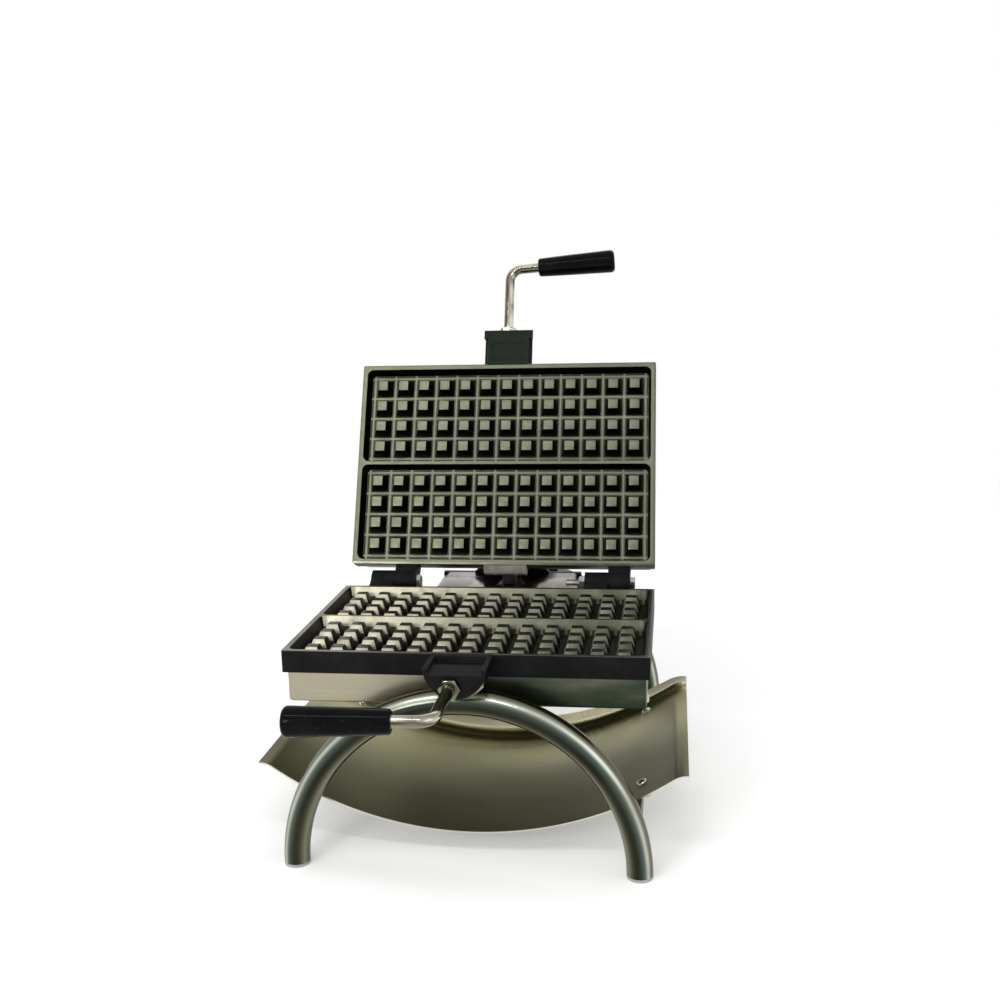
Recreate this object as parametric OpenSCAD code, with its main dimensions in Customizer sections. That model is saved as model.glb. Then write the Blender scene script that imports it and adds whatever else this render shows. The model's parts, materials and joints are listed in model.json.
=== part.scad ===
// Swing waffle iron for a counter: two double waffle plates, hinged at the back like a book,
// that turn over as one in a pair of arched tube stands above a drip trough.
// Frame: +X right, +Y to the back, +Z up. The origin lies on the floor under the middle of
// the whole machine. Most pieces are drawn from the swing axis, at the plates' front edge.

/* [Waffle pattern] */
// Distance between neighbouring pyramids
pitch = 24; // [22:0.5:26]
// Width of a pyramid at its foot
pyramid_foot = 19.4; // [18:0.1:20.5]
// Width of a pyramid's flat top
pyramid_top = 10.6; // [9:0.1:12]
// Height of a pyramid
pyramid_h = 13; // [11:0.5:13.5]
// Pyramids across one waffle
columns = 13; // [11:1:13]
// Rows of pyramids in one waffle
rows = 4; // [3:1:4]
// Flat floor between the outer pyramids and the cavity wall
floor_margin = 5.6; // [4.5:0.1:7]
// Depth of a waffle cavity below the rim
cavity_depth = 14.8; // [13.8:0.1:16]
// How far a cavity wall leans outwards over its depth
wall_run = 3.2; // [2:0.1:4]

/* [Plates] */
// Width of the ground rim around a plate
rim_w = 5; // [4:0.1:7]
// Width of the ridge between the two waffles
divider_w = 3.4; // [3:0.1:6]
// Height of a plate's casting
casting_h = 20.7; // [19:0.1:24]
// Gap between the two rims when the iron is shut
shut_gap = 0.4; // [0.4:0.1:1]

/* [Covers] */
// How far a cover stands in from the casting's edge
cover_inset = 3.6; // [2:0.1:8]
// Height of a cover
cover_h = 28.6; // [26:0.1:36]
// Sheet thickness of a cover
cover_t = 1.2; // [0.8:0.1:2]
// Corner radius of a cover
cover_r = 4; // [3:0.5:8]
// Size across a cover screw's head
cover_screw_d = 9; // [7:0.5:11]

/* [Front journals and handles] */
// Radius of the journal that turns in the front saddle
journal_r = 28; // [26:0.5:30]
// Length of a journal in front of the plates
journal_l = 41; // [38:1:50]
// Width of the lower journal's side ribs
rib_w = 4.5; // [3.5:0.1:6]
// Depth of the channel between the ribs
channel_depth = 6; // [4:0.5:8]
// Length of the upper journal's front ears
ear_l = 10; // [8:0.5:13]
// Diameter of a handle rod
rod_d = 11; // [9:0.5:12]
// Distance from a journal's face to the grip's axis
handle_reach = 82; // [70:1:95]
// Height of a handle rod above or below the swing axis
handle_z = 17; // [15:0.5:18]
// How far the lower handle rod stands left of the middle
handle_x = 3.5; // [0:0.5:5]
// How far the lid's handle rod stands left of the middle, with the lid open
lid_handle_x = 2.5; // [0:0.5:5]
// Bend radius of a handle rod
rod_bend_r = 15; // [13:0.5:22]
// Bend of a handle rod
bend_angle = 86; // [80:1:90]
// Straight length of rod between the bend and the grip
grip_gap = 19; // [12:1:30]
// Length of a grip
grip_l = 89; // [75:1:110]
// Diameter of a grip at the rod
grip_d0 = 21; // [18:0.5:24]
// Diameter of a grip at its free end
grip_d1 = 26; // [24:0.5:32]
// Size across the flats of a handle nut
nut_af = 17; // [15:0.5:19]

/* [Hinge] */
// Distance from the plates' back edge to the hinge axis
hinge_back = 19.7; // [18:0.1:24]
// How far the lid stands open
open_angle = 114; // [100:1:116]
// Radius of a hinge knuckle
knuckle_r = 12; // [11:0.5:13]
// Width of a knuckle on the lower plate
block_w = 24.6; // [20:0.2:30]
// Width of a knuckle on the lid
bracket_w = 23.6; // [20:0.2:28]
// Where the left hinge's two knuckles meet
hinge_left = -117.2; // [-122:0.1:-110]
// Where the right hinge's two knuckles meet
hinge_right = 117.2; // [110:0.1:122]
// Diameter of a hinge bolt
bolt_d = 8; // [6:0.5:10]
// Size across the flats of the hinge bolt's head and nut
bolt_af = 13; // [11:0.5:15]
// How far the right hinge bolt stands out past its nut
bolt_tail = 14; // [4:1:20]

/* [Stand] */
// Diameter of the arch tube
tube_d = 24; // [20:0.5:28]
// Wall of the arch tube
tube_wall = 1.5; // [1:0.1:3]
// Bend radius of an arch, to the tube's middle
arch_r = 158; // [154:1:175]
// How far an arch's crown stays below the swing axis
crown_drop = 27; // [26.5:0.5:30]
// Gap between the front arch and the plates
arch_gap = 3; // [2.5:0.5:8]
// Gap between the open lid's back and the rear arch
rear_gap = 46; // [40:1:70]
// Thickness of a foot cap's visible disc
foot_h = 3; // [2:0.5:6]

/* [Drip trough] */
// Width of the trough
tray_w = 403; // [370:1:408]
// Radius of the trough's curve
tray_r = 333; // [320:1:380]
// Gap between the turning plates and the trough
tray_clear = 7; // [5:0.5:12]
// Sheet thickness of the trough
tray_t = 1.5; // [1:0.1:2]
// Distance from the plates' front edge to the trough's front edge
tray_front = 16; // [6:1:40]
// How far the trough reaches behind the plates
tray_back = 27; // [18:0.2:27.4]
// Length over which the trough curves up to its back edge
ramp_l = 14; // [10:0.5:18]
// Height of that curve
ramp_h = 6; // [4:0.5:12]
// Height of the upright back edge above the curve, at its ends
lip_h = 6; // [4:0.5:12]
// How much higher the back edge stands in the middle
lip_bow = 9; // [1:0.5:10]
// Width of the flat edge along each side
side_edge = 8; // [5:0.5:12]
// Distance from the trough's front edge to its front screws
tray_screw_in = 34; // [15:1:50]
// Width of the bars that carry the trough
bar_w = 20; // [16:1:24]
// How far the bars lie outside the arch tube's middle line
bar_out = 10; // [0:0.5:12]
// Thickness of the bars that carry the trough
bar_t = 5; // [4:0.5:8]

/* [Back end] */
// Half the width of the control housing
housing_half = 81; // [75:1:86]
// Length of the control housing
housing_l = 110; // [104:1:140]
// Top of the control housing below the swing axis
housing_top = 14; // [12:0.5:20]
// Height of the control housing
housing_h = 44; // [42:1:56]
// Sheet thickness of the control housing
housing_t = 1.5; // [1:0.1:2.5]
// Thickness of the trunnion casting's two plates
bracket_t = 8; // [6:0.5:12]
// Diameter of the trunnion
trunnion_d = 30; // [26:0.5:34]
// Bore through the trunnion
trunnion_bore = 14; // [10:0.5:16]
// Length of the rear bearing
bearing_l = 40; // [34:1:50]
// Half the width of the rear bearing's foot
bearing_half = 45; // [40:1:55]

/* [Controls] */
// Diameter of the thermostat knob
knob_d = 36; // [30:1:40]
// Height of the thermostat knob
knob_h = 17; // [14:0.5:22]
// Length of the switch frame
switch_l = 30; // [28:0.5:34]
// Height of the switch frame
switch_w = 15; // [14:0.5:18]
// Diameter of the pilot lamp's bezel
lamp_d = 13; // [10:0.5:16]

/* [Hidden] */
$fn = 96;

// Shared fits
eps = 0.01;       // overlap of a cut past the face that it opens
over = 1;         // longer overrun of a cut
seat = 0.02;      // radial gap of a piece that is fixed in a bore
run = 0.05;       // radial gap of a shaft that turns in a bore
side_gap = 0.3;   // gap between two faces that pass each other

// Plates
waffle_w = (columns - 1) * pitch + pyramid_foot + 2 * floor_margin;
waffle_d = (rows - 1) * pitch + pyramid_foot + 2 * floor_margin;
mouth_w = waffle_w + 2 * wall_run;
mouth_d = waffle_d + 2 * wall_run;
plate_w = mouth_w + 2 * rim_w;
plate_d = 2 * mouth_d + divider_w + 2 * rim_w;
rim_z = shut_gap / 2;
casting_z = casting_h + rim_z;
cover_z = casting_z + cover_h;
cover_half = plate_w / 2 - cover_inset;
swing_r = max(norm([cover_half, cover_z]), norm([plate_w / 2, casting_z]));

// Inside a cover, counted from the casting's back
element_d = 8;
element_runs = 6;
element_in = 25;     // from the plate's front or back edge to the nearest run
element_end = 40;    // from the plate's side to a run's end
clamp_t = 3;
clamp_w = 20;
clamp_x = plate_w / 4;
clamp_end = 14;      // from the plate's edge to a clamp bar's end
stud_d = 6;
stud_nut_af = 10;
stud_nut_h = 5;
element_z = casting_z + element_d / 2 + 0.2;
clamp_z = element_z + element_d / 2 + 0.1;
wool_z = clamp_z + clamp_t + 1;
wool_h = cover_z - cover_t - wool_z - 0.3;
wool_gap = 9;

// Hinge and lid
hinge_y = plate_d + hinge_back;
lid_back = hinge_y - (hinge_y - cover_inset) * cos(open_angle) + cover_z * sin(open_angle);
heel_y = hinge_y - (hinge_back + cover_inset) * cos(open_angle) + cover_z * sin(open_angle);
heel_z = (hinge_back + cover_inset) * sin(open_angle) + cover_z * cos(open_angle);
bolt_head_h = 5.3;
bolt_nut_h = 6.5;
knuckle_pad = 4;     // thickness of a knuckle's foot against the plate
knuckle_screw_d = 5;
knuckle_head_d = 8.6;
knuckle_head_h = 5;
socket_af = 4;
socket_depth = 2;
knuckle_screw_z = -(casting_z - 6.5);

// Handles
boss_hole_l = 15;
rod_nut_h = 8;
bend_y = -(journal_l + handle_reach - rod_bend_r);
grip_round = 5;
grip_wall = 8;

// Stand
crown_z = -crown_drop;
axis_h = foot_h + arch_r + tube_d / 2 + crown_drop;
arch_y = -(arch_gap + tube_d / 2);
rear_y = lid_back + rear_gap + tube_d / 2;
liner_t = 3;
liner_l = tube_d + 4;
liner_angle = 100;
cap_spigot = 14;

// Trough, seen along Y from the swing axis
tray_floor = -(swing_r + tray_clear);
tray_cz = tray_floor + tray_r;
tray_half_angle = asin((tray_w / 2 - side_edge) / tray_r);
tray_y1 = plate_d + tray_back;
tray_edge_z = tray_cz - tray_r * cos(tray_half_angle);
lip_r = tray_r - ramp_h - lip_h;
lip_x1 = lip_r * sin(tray_half_angle);
lip_mid_z = tray_floor + ramp_h + lip_h + lip_bow;
lip_rise = tray_cz - lip_r * cos(tray_half_angle) - lip_mid_z;
lip_top_r = (lip_x1 ^ 2 + lip_rise ^ 2) / (2 * lip_rise);
bar_r = tray_r + tray_t + bar_t / 2;
arch_cz = foot_h - axis_h;
bar_z = (arch_r ^ 2 - bar_r ^ 2 + tray_cz ^ 2 - arch_cz ^ 2) / (2 * (tray_cz - arch_cz));
bar_x = sqrt(bar_r ^ 2 - (bar_z - tray_cz) ^ 2) + bar_out;
bar_angle = asin(bar_x / bar_r);
bar_y1 = tray_y1 - 8;
bar_tongue_in = 1;   // from the arch tube's outside to the edge of a bar's front tongue
bar_full_y = tray_front + tray_screw_in - 9;
tray_screw_d = 6;
tray_head_d = 11;
tray_screw_ys = [tray_front + tray_screw_in, tray_y1 - ramp_l - tray_head_d / 2 - side_gap];
tray_head_h = 2.4;
tray_screw_tail = 8;
tray_nut_h = 5;
tray_nut_af = 10;

// Back end
casting_y0 = plate_d;
housing_y0 = casting_y0 + bracket_t;
housing_y1 = housing_y0 + housing_l;
bearing_y0 = rear_y - bearing_l / 2;
bearing_y1 = rear_y + bearing_l / 2;
bearing_r = 31;
bush_wall = 3;
bush_flange = 2;
arm_x = 40;
arm_t = 8;
collar_r = trunnion_d / 2 + 6;
collar_l = 6;
trunnion_y1 = bearing_y1 + bush_flange + side_gap + collar_l + 3;
gland_af = 22;
gland_hex = 5;
gland_dome = 12;
cable_d = 8;
back_y = trunnion_y1 + gland_hex + gland_dome;
lug_w = 47;
lug_d = 9;
rest_x = 4;
rest_d = 16;
rest_y = heel_y - 4;
rest_stem_d = 4.6;
flange_drop = 3;     // from the swing axis down to the front flange's top
casting_screw_z = -(flange_drop + housing_top) / 2;
casting_screw_pitch = 44;
lead_hole_x = 12;    // the two holes for the leads into the lower cover
lead_hole_drop = 8;
lead_hole_r = 5;
housing_r = 8;
housing_z0 = -(housing_top + housing_h);
base_screw_d = 4;
base_screw_l = 11;
base_screw_in = 12;
base_head_h = 2.4;

// Controls on the housing's right-hand end
control_z = -(housing_top + housing_h / 2);
knob_y = housing_y1 - knob_d / 2 - 9;
switch_y = housing_y0 + switch_l / 2 + 7;
lamp_y = (knob_y - knob_d / 2 + switch_y + switch_l / 2) / 2;
shaft_d = 6;
rocker_l = switch_l - 5;
rocker_w = switch_w - 4;
rocker_tilt = 7;
terminal = [56, 18, 16];

// Whole machine: the front is the lower grip, the back is the gland
front_y = bend_y - rod_bend_r * sin(bend_angle) - (grip_gap + grip_l - grip_round) * cos(bend_angle)
  - (grip_d1 / 2 - grip_round) * sin(bend_angle) - grip_round;
origin_y = (front_y + back_y) / 2;

module at_axis() translate([0, -origin_y, axis_h]) children();

// The lid's pieces are drawn shut, above the swing axis, and swung open about the hinge
module on_lid() at_axis() translate([0, hinge_y, 0]) rotate([-open_angle, 0, 0])
  translate([0, -hinge_y, 0]) children();

// The lid repeats the lower half, turned over about the swing axis
module turned() rotate([0, 180, 0]) children();

module along_y(y, h, r, fn = $fn) translate([0, y, 0]) rotate([-90, 0, 0]) cylinder(h = h, r = r, $fn = fn);
module along_x(x, h, r, fn = $fn) translate([x, 0, 0]) rotate([0, 90, 0]) cylinder(h = h, r = r, $fn = fn);
module hex_y(y, h, af) along_y(y, h, af / sqrt(3), 6);
module hex_x(x, h, af) along_x(x, h, af / sqrt(3), 6);
module profile_y(y, h) translate([0, y + h, 0]) rotate([90, 0, 0]) linear_extrude(h) children();
module profile_x(x, h) translate([x, 0, 0]) rotate([90, 0, 90]) linear_extrude(h) children();

module round_rect(w, d, r) {
  translate([r, 0]) square([w - 2 * r, d]);
  translate([0, r]) square([w, d - 2 * r]);
  for (x = [r, w - r], y = [r, d - r]) translate([x, y]) circle(r);
}

// One row of pyramids, seen along the row
module teeth(count, length) {
  start = (length - ((count - 1) * pitch + pyramid_foot)) / 2;
  step = (pyramid_foot - pyramid_top) / 2;
  for (i = [0 : count - 1]) {
    x = start + i * pitch;
    polygon([
      [x, -over], [x, 0], [x + step, pyramid_h],
      [x + pyramid_foot - step, pyramid_h], [x + pyramid_foot, 0], [x + pyramid_foot, -over]
    ]);
  }
}

module cavity_side(floor_l) polygon([
  [0, 0], [-wall_run, cavity_depth], [-wall_run, cavity_depth + over],
  [floor_l + wall_run, cavity_depth + over], [floor_l + wall_run, cavity_depth], [floor_l, 0]
]);

// One waffle's cavity, from its floor's front left corner
module cavity() intersection() {
  profile_y(-2 * wall_run, waffle_d + 4 * wall_run) cavity_side(waffle_w);
  profile_x(-2 * wall_run, waffle_w + 4 * wall_run) cavity_side(waffle_d);
}

module pyramids() intersection() {
  profile_y(0, waffle_d) teeth(columns, waffle_w);
  profile_x(0, waffle_w) teeth(rows, waffle_d);
}

// A plate of the lower half: its rim faces up at the swing axis
module plate_body() {
  floor_z = -rim_z - cavity_depth;
  places = [for (i = [0, 1]) [-waffle_w / 2, rim_w + wall_run + i * (mouth_d + divider_w), floor_z]];
  difference() {
    translate([-plate_w / 2, 0, -casting_z]) cube([plate_w, plate_d, casting_h]);
    for (place = places) translate(place) cavity();
    for (x = [-1, 1] * clamp_x, y = clamp_ys()) translate([x, y, -casting_z - eps])
      cylinder(h = stud_depth(), d = stud_d + 2 * seat);
  }
  for (place = places) translate(place) pyramids();
}

function stud_depth() = casting_h - cavity_depth - 1.5;
function clamp_ys() = [for (k = [1, 5]) plate_d * k / 6];

module half_disc_y(y, h, r) intersection() {
  along_y(y, h, r);
  translate([-r - over, y - over, -r - rim_z]) cube([2 * (r + over), h + 2 * over, r]);
}

module handle_hole(x) translate([x, 0, -handle_z])
  along_y(-journal_l - eps, boss_hole_l, rod_d / 2 + seat);

module screw_holes(places, z) for (x = places)
  translate([x, 0, z])
    along_y(plate_d - knuckle_bite(), knuckle_bite() + over, knuckle_screw_d / 2 + seat);

function knuckle_bite() = rim_w + wall_run / 3;
function block_xs() = [hinge_left - block_w / 2, hinge_right - block_w / 2];
function bracket_xs() = [hinge_left + bracket_w / 2, hinge_right + bracket_w / 2];
function casting_screw_xs() = [for (k = [-1.5, -0.5, 0.5, 1.5]) k * casting_screw_pitch];

module lower_plate() color("dimgray") at_axis() difference() {
  union() {
    plate_body();
    half_disc_y(-journal_l, journal_l + eps, journal_r);
  }
  translate([-journal_r + rib_w, -journal_l - over, -rim_z - channel_depth])
    cube([2 * (journal_r - rib_w), journal_l + over - rim_w, channel_depth + over]);
  handle_hole(-handle_x);
  screw_holes(block_xs(), knuckle_screw_z);
  screw_holes(casting_screw_xs(), casting_screw_z);
}

module upper_plate() color("dimgray") on_lid() turned() difference() {
  union() {
    plate_body();
    half_disc_y(-journal_l, journal_l + eps, journal_r);
  }
  // side notches behind the ears, beside the lower journal's ribs
  for (side = [-1, 1]) translate([side * journal_r, -(journal_l - ear_l) / 2, 0])
    cube([2 * rib_w, journal_l - ear_l, 2 * channel_depth], center = true);
  // bare recessed panel in the joint face
  panel = [2 * (journal_r - rib_w) - 8, journal_l - ear_l - 9, 1.6];
  translate([-panel[0] / 2, -panel[1] - 4, -rim_z - panel[2]]) cube(panel + [0, 0, over]);
  handle_hole(lid_handle_x);
  screw_holes([for (x = bracket_xs()) -x - side_gap], knuckle_screw_z);
}

module cover_body() difference() {
  size = [2 * cover_half, plate_d - 2 * cover_inset];
  translate([-cover_half, cover_inset, -cover_z]) linear_extrude(cover_h)
    round_rect(size[0], size[1], cover_r);
  translate([-cover_half + cover_t, cover_inset + cover_t, -cover_z + cover_t]) linear_extrude(cover_h)
    round_rect(size[0] - 2 * cover_t, size[1] - 2 * cover_t, cover_r - cover_t);
  for (p = cover_screws()) translate([-cover_half - over, p[0], p[1]])
    rotate([0, 90, 0]) cylinder(h = 2 * (cover_half + over), d = cover_screw_d / 2 + 0.4);
}

function cover_screws() = [for (y = [14, plate_d - 14]) [y, -cover_z + 7]];

module dome_screw_x(side) {
  head = cover_screw_d / 2;
  // domed head outside, shank and nut inside the sheet
  translate([side * cover_half, 0, 0]) rotate([0, side * 90, 0]) {
    intersection() {
      translate([0, 0, -head * 0.75]) sphere(head * 1.25);
      cylinder(h = head, r = head);
    }
    translate([0, 0, -8]) cylinder(h = 8 + eps, d = head);
    translate([0, 0, -cover_t - 3.2]) cylinder(h = 3.2, r = 4, $fn = 6);
  }
}

module cover_screw_set() for (side = [-1, 1], p = cover_screws())
  translate([0, p[0], p[1]]) dome_screw_x(side);

module lower_cover() color("gainsboro") at_axis() cover_body();
module upper_cover() color("gainsboro") on_lid() turned() cover_body();
module lower_cover_screws() color("lightgray") at_axis() cover_screw_set();
module upper_cover_screws() color("lightgray") on_lid() turned() cover_screw_set();

// Heating rod: straight runs from side to side, joined by half rings
module element_body() {
  half = plate_w / 2 - element_end;
  gap = (plate_d - 2 * element_in) / (element_runs - 1);
  for (i = [0 : element_runs - 1]) {
    y = element_in + i * gap;
    translate([0, y, -element_z]) along_x(-half, 2 * half, element_d / 2);
    side = i % 2 == 0 ? 1 : -1;
    if (i < element_runs - 1)
      translate([side * half, y + gap / 2, -element_z]) rotate([0, 0, side * 90 - 180])
        rotate_extrude(angle = 180) translate([gap / 2, 0]) circle(element_d / 2);
  }
}

module lower_element() color("darkslategray") at_axis() element_body();
module upper_element() color("darkslategray") on_lid() turned() element_body();

module clamp_set() for (x = [-1, 1] * clamp_x) {
  under = -clamp_z - clamp_t;
  stud_top = -casting_z + stud_depth() - side_gap;
  translate([x - clamp_w / 2, clamp_end, under]) cube([clamp_w, plate_d - 2 * clamp_end, clamp_t]);
  for (y = clamp_ys()) translate([x, y, under - stud_nut_h]) {
    translate([0, 0, -over]) cylinder(h = stud_top - under + stud_nut_h + over, d = stud_d);
    cylinder(h = stud_nut_h, r = stud_nut_af / sqrt(3), $fn = 6);
  }
}

module lower_clamps() color("silver") at_axis() clamp_set();
module upper_clamps() color("silver") on_lid() turned() clamp_set();

module wool_body() difference() {
  inset = cover_inset + cover_t + wool_gap;
  translate([-plate_w / 2 + inset, inset, -wool_z - wool_h])
    cube([plate_w - 2 * inset, plate_d - 2 * inset, wool_h]);
  for (x = [-1, 1] * clamp_x, y = clamp_ys()) translate([x, y, -wool_z - stud_nut_h - 2])
    cylinder(h = stud_nut_h + 3, d = stud_nut_af + 5);
}

module lower_insulation() color("beige") at_axis() wool_body();
module upper_insulation() color("beige") on_lid() turned() wool_body();

// The rod's end past its bend, which runs along -Y here
module past_bend() translate([-rod_bend_r, bend_y, 0]) rotate([0, 0, -bend_angle])
  translate([rod_bend_r, 0, 0]) children();

// Handle: a bent rod screwed into the journal's face, locked by a nut, with a grip on its end
module rod_body() {
  end = grip_gap + grip_l - grip_wall - 1;
  along_y(bend_y, handle_reach - rod_bend_r + boss_hole_l - 1, rod_d / 2);
  translate([-rod_bend_r, bend_y, 0]) rotate([0, 0, -bend_angle])
    rotate_extrude(angle = bend_angle) translate([rod_bend_r, 0]) circle(rod_d / 2);
  past_bend() along_y(-end, end, rod_d / 2);
}

module nut_body() difference() {
  intersection() {
    hex_y(-journal_l - rod_nut_h, rod_nut_h, nut_af);
    along_y(-journal_l - rod_nut_h, rod_nut_h, nut_af * 0.56);
  }
  along_y(-journal_l - rod_nut_h - over, rod_nut_h + 2 * over, rod_d / 2 + seat);
}

// Tapered grip with rounded ends, closed at its free end
module grip_body() past_bend() translate([0, -grip_gap, 0]) rotate([90, 0, 0]) rotate_extrude() {
  bore = rod_d / 2 + seat;
  end_r = grip_d1 / 2 - grip_round;
  end_l = grip_l - grip_round;
  polygon(concat(
    [[bore, 0], [grip_d0 / 2 - 2, 0], [grip_d0 / 2, 2]],
    [for (a = [0 : 15 : 90]) [end_r + grip_round * cos(a), end_l + grip_round * sin(a)]],
    [[0, grip_l], [0, grip_l - grip_wall], [bore, grip_l - grip_wall]]
  ));
}

module on_lower_rod() at_axis() translate([-handle_x, 0, -handle_z]) children();
module on_upper_rod() on_lid() turned() translate([lid_handle_x, 0, -handle_z]) children();
module lower_handle_rod() color("silver") on_lower_rod() rod_body();
module upper_handle_rod() color("silver") on_upper_rod() rod_body();
module lower_handle_nut() color("silver") on_lower_rod() nut_body();
module upper_handle_nut() color("silver") on_upper_rod() nut_body();
module lower_grip() color("#15151a") on_lower_rod() grip_body();
module upper_grip() color("#15151a") on_upper_rod() grip_body();

// Hinge knuckle on the lower half: a foot against the plate's back and an eye on the hinge axis
module knuckle_body(x, w, bore) difference() {
  union() {
    translate([0, hinge_y, 0]) along_x(x - w / 2, w, knuckle_r);
    profile_x(x - w / 2, w) polygon([
      [plate_d + seat, -rim_z], [hinge_y, knuckle_r - over], [hinge_y, over - knuckle_r],
      [plate_d + knuckle_pad, -casting_z], [plate_d + seat, -casting_z]
    ]);
  }
  translate([0, hinge_y, 0]) along_x(x - w / 2 - over, w + 2 * over, bore);
  translate([x, 0, knuckle_screw_z]) {
    along_y(plate_d - over, hinge_back, knuckle_screw_d / 2 + seat);
    along_y(plate_d + knuckle_pad, 2 * hinge_back, knuckle_head_d / 2 + side_gap);
  }
}

module knuckle_screw(x) translate([x, 0, knuckle_screw_z]) {
  along_y(plate_d - knuckle_bite() + 0.5, knuckle_bite() + knuckle_pad, knuckle_screw_d / 2);
  difference() {
    along_y(plate_d + knuckle_pad + 0.05, knuckle_head_h, knuckle_head_d / 2);
    hex_y(plate_d + knuckle_pad + knuckle_head_h - socket_depth, knuckle_head_h, socket_af);
  }
}

module plate_knuckle(x) at_axis() knuckle_body(x, block_w, bolt_d / 2 + seat);
module hinge_block_left() color("#202020") plate_knuckle(block_xs()[0]);
module hinge_block_right() color("#202020") plate_knuckle(block_xs()[1]);
module hinge_block_screws() color("silver") at_axis() for (x = block_xs()) knuckle_screw(x);

// The lid's knuckles are turned over with the lid, so their places change sign
module lid_knuckle(x) on_lid() turned() knuckle_body(-x - side_gap, bracket_w, bolt_d / 2 + run);
module lid_bracket_left() color("#202020") lid_knuckle(bracket_xs()[0]);
module lid_bracket_right() color("#202020") lid_knuckle(bracket_xs()[1]);
module lid_bracket_screws() color("silver") on_lid() turned()
  for (x = bracket_xs()) knuckle_screw(-x - side_gap);

// Hinge bolt: head on the lid's side, thread in the lower knuckle
module hinge_bolt(meet, tail) translate([meet, hinge_y, 0]) {
  face = bracket_w + 2 * side_gap;
  hex_x(face, bolt_head_h, bolt_af);
  along_x(-block_w - tail, block_w + tail + face + eps, bolt_d / 2);
}

module hinge_bolt_left() color("silver") at_axis() hinge_bolt(hinge_left, -2);
module hinge_bolt_right() color("silver") at_axis() hinge_bolt(hinge_right, bolt_nut_h + bolt_tail);
module hinge_nut() color("silver") at_axis() translate([0, hinge_y, 0]) difference() {
  x = hinge_right - block_w - bolt_nut_h;
  hex_x(x, bolt_nut_h - 0.05, bolt_af);
  along_x(x - over, bolt_nut_h + 2 * over, bolt_d / 2 + seat);
}

// Cast lug in the middle of the lid's back edge, where the lid's leads come out
module lid_lead_lug() color("gray") on_lid() turned() translate([-rest_x, 0, 0]) difference() {
  y0 = plate_d + seat;
  y1 = plate_d + lug_d;
  profile_x(-lug_w / 2, lug_w)
    polygon([[y0, -2 - rim_z], [y1, -6 - rim_z], [y1, 5 - casting_z], [y0, -casting_z]]);
  for (x = [-1, 1] * lug_w / 4) translate([x, 0, -casting_z / 2]) along_y(y0 - over, lug_d + 2 * over, 3);
}

// One arched stand, a half ring of tube standing on its two ends
module arch_body() translate([0, 0, arch_cz]) rotate([90, 0, 0]) rotate_extrude(angle = 180)
  translate([arch_r, 0]) difference() {
    circle(tube_d / 2);
    circle(tube_d / 2 - tube_wall);
  }

module arch_outside(gap) translate([0, 0, arch_cz]) rotate([90, 0, 0]) rotate_extrude(angle = 180)
  translate([arch_r, 0]) circle(tube_d / 2 + gap);

module front_arch() color("lightsteelblue") at_axis() difference() {
  translate([0, arch_y, 0]) arch_body();
  along_y(arch_y - tube_d, 2 * tube_d, journal_r + side_gap + liner_t + seat);
}

module rear_arch() color("lightsteelblue") at_axis() translate([0, rear_y, 0]) arch_body();

module foot_caps() color("lightgray") at_axis() for (x = [-1, 1] * arch_r, y = [arch_y, rear_y])
  translate([x, y, -axis_h]) {
    cylinder(h = foot_h, d = tube_d);
    intersection() {
      translate([0, 0, foot_h - eps]) cylinder(h = cap_spigot, d = tube_d - 2 * tube_wall - 1.6);
      translate([-x, 0, foot_h]) rotate([90, 0, 0]) rotate_extrude(angle = 180)
        translate([arch_r, 0]) circle(tube_d / 2 - tube_wall - 0.1);
    }
  }

// Bearing liner let into the front arch's crown
module front_saddle() color("darkkhaki") at_axis() translate([0, arch_y + liner_l / 2, 0])
  rotate([90, 0, 0]) rotate([0, 0, -90 - liner_angle / 2]) rotate_extrude(angle = liner_angle)
    translate([journal_r + side_gap, 0]) square([liner_t, liner_l]);

module bearing_block() color("#303236") at_axis() difference() {
  union() {
    along_y(bearing_y0, bearing_l, bearing_r);
    profile_y(bearing_y0, bearing_l) polygon([
      [-bearing_half, crown_z - 8], [-bearing_half, crown_z + 10], [-bearing_r, 0],
      [bearing_r, 0], [bearing_half, crown_z + 10], [bearing_half, crown_z - 8]
    ]);
  }
  translate([0, rear_y, 0]) arch_outside(seat);
  along_y(bearing_y0 - over, bearing_l + 2 * over, trunnion_d / 2 + run + bush_wall + seat);
}

module bearing_bush() color("goldenrod") at_axis() difference() {
  union() {
    along_y(bearing_y0, bearing_l + eps, trunnion_d / 2 + run + bush_wall);
    along_y(bearing_y1, bush_flange, trunnion_d / 2 + run + bush_wall + 4);
  }
  along_y(bearing_y0 - over, bearing_l + bush_flange + 2 * over, trunnion_d / 2 + run);
}

// Point on the trough's radius, from the trough's own centre line
module on_tray(angle, radius)
  translate([0, 0, tray_cz]) rotate([0, angle, 0]) translate([0, 0, -radius]) children();

// The sheet seen from the side, as [depth below the trough's top, distance from its back end]:
// straight from the front, curved up near the back, then upright
function tray_profile(lip) = concat(
  [[tray_t, tray_y1 - tray_front]],
  [for (a = [0 : 15 : 90]) [(ramp_h + tray_t) * cos(a) - ramp_h, ramp_l * (1 - sin(a))]],
  [[-ramp_h - lip, 0], [-ramp_h - lip, tray_t]],
  [for (a = [90 : -15 : 0]) [ramp_h * (cos(a) - 1), ramp_l - (ramp_l - tray_t) * sin(a)]],
  [[0, tray_y1 - tray_front]]
);

// The part of the full ring that the trough keeps
module tray_wedge() {
  reach = tray_r + tray_t + over;
  half = reach * tan(tray_half_angle);
  polygon([[0, tray_cz], [-half, tray_cz - reach], [half, tray_cz - reach]]);
}

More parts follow.
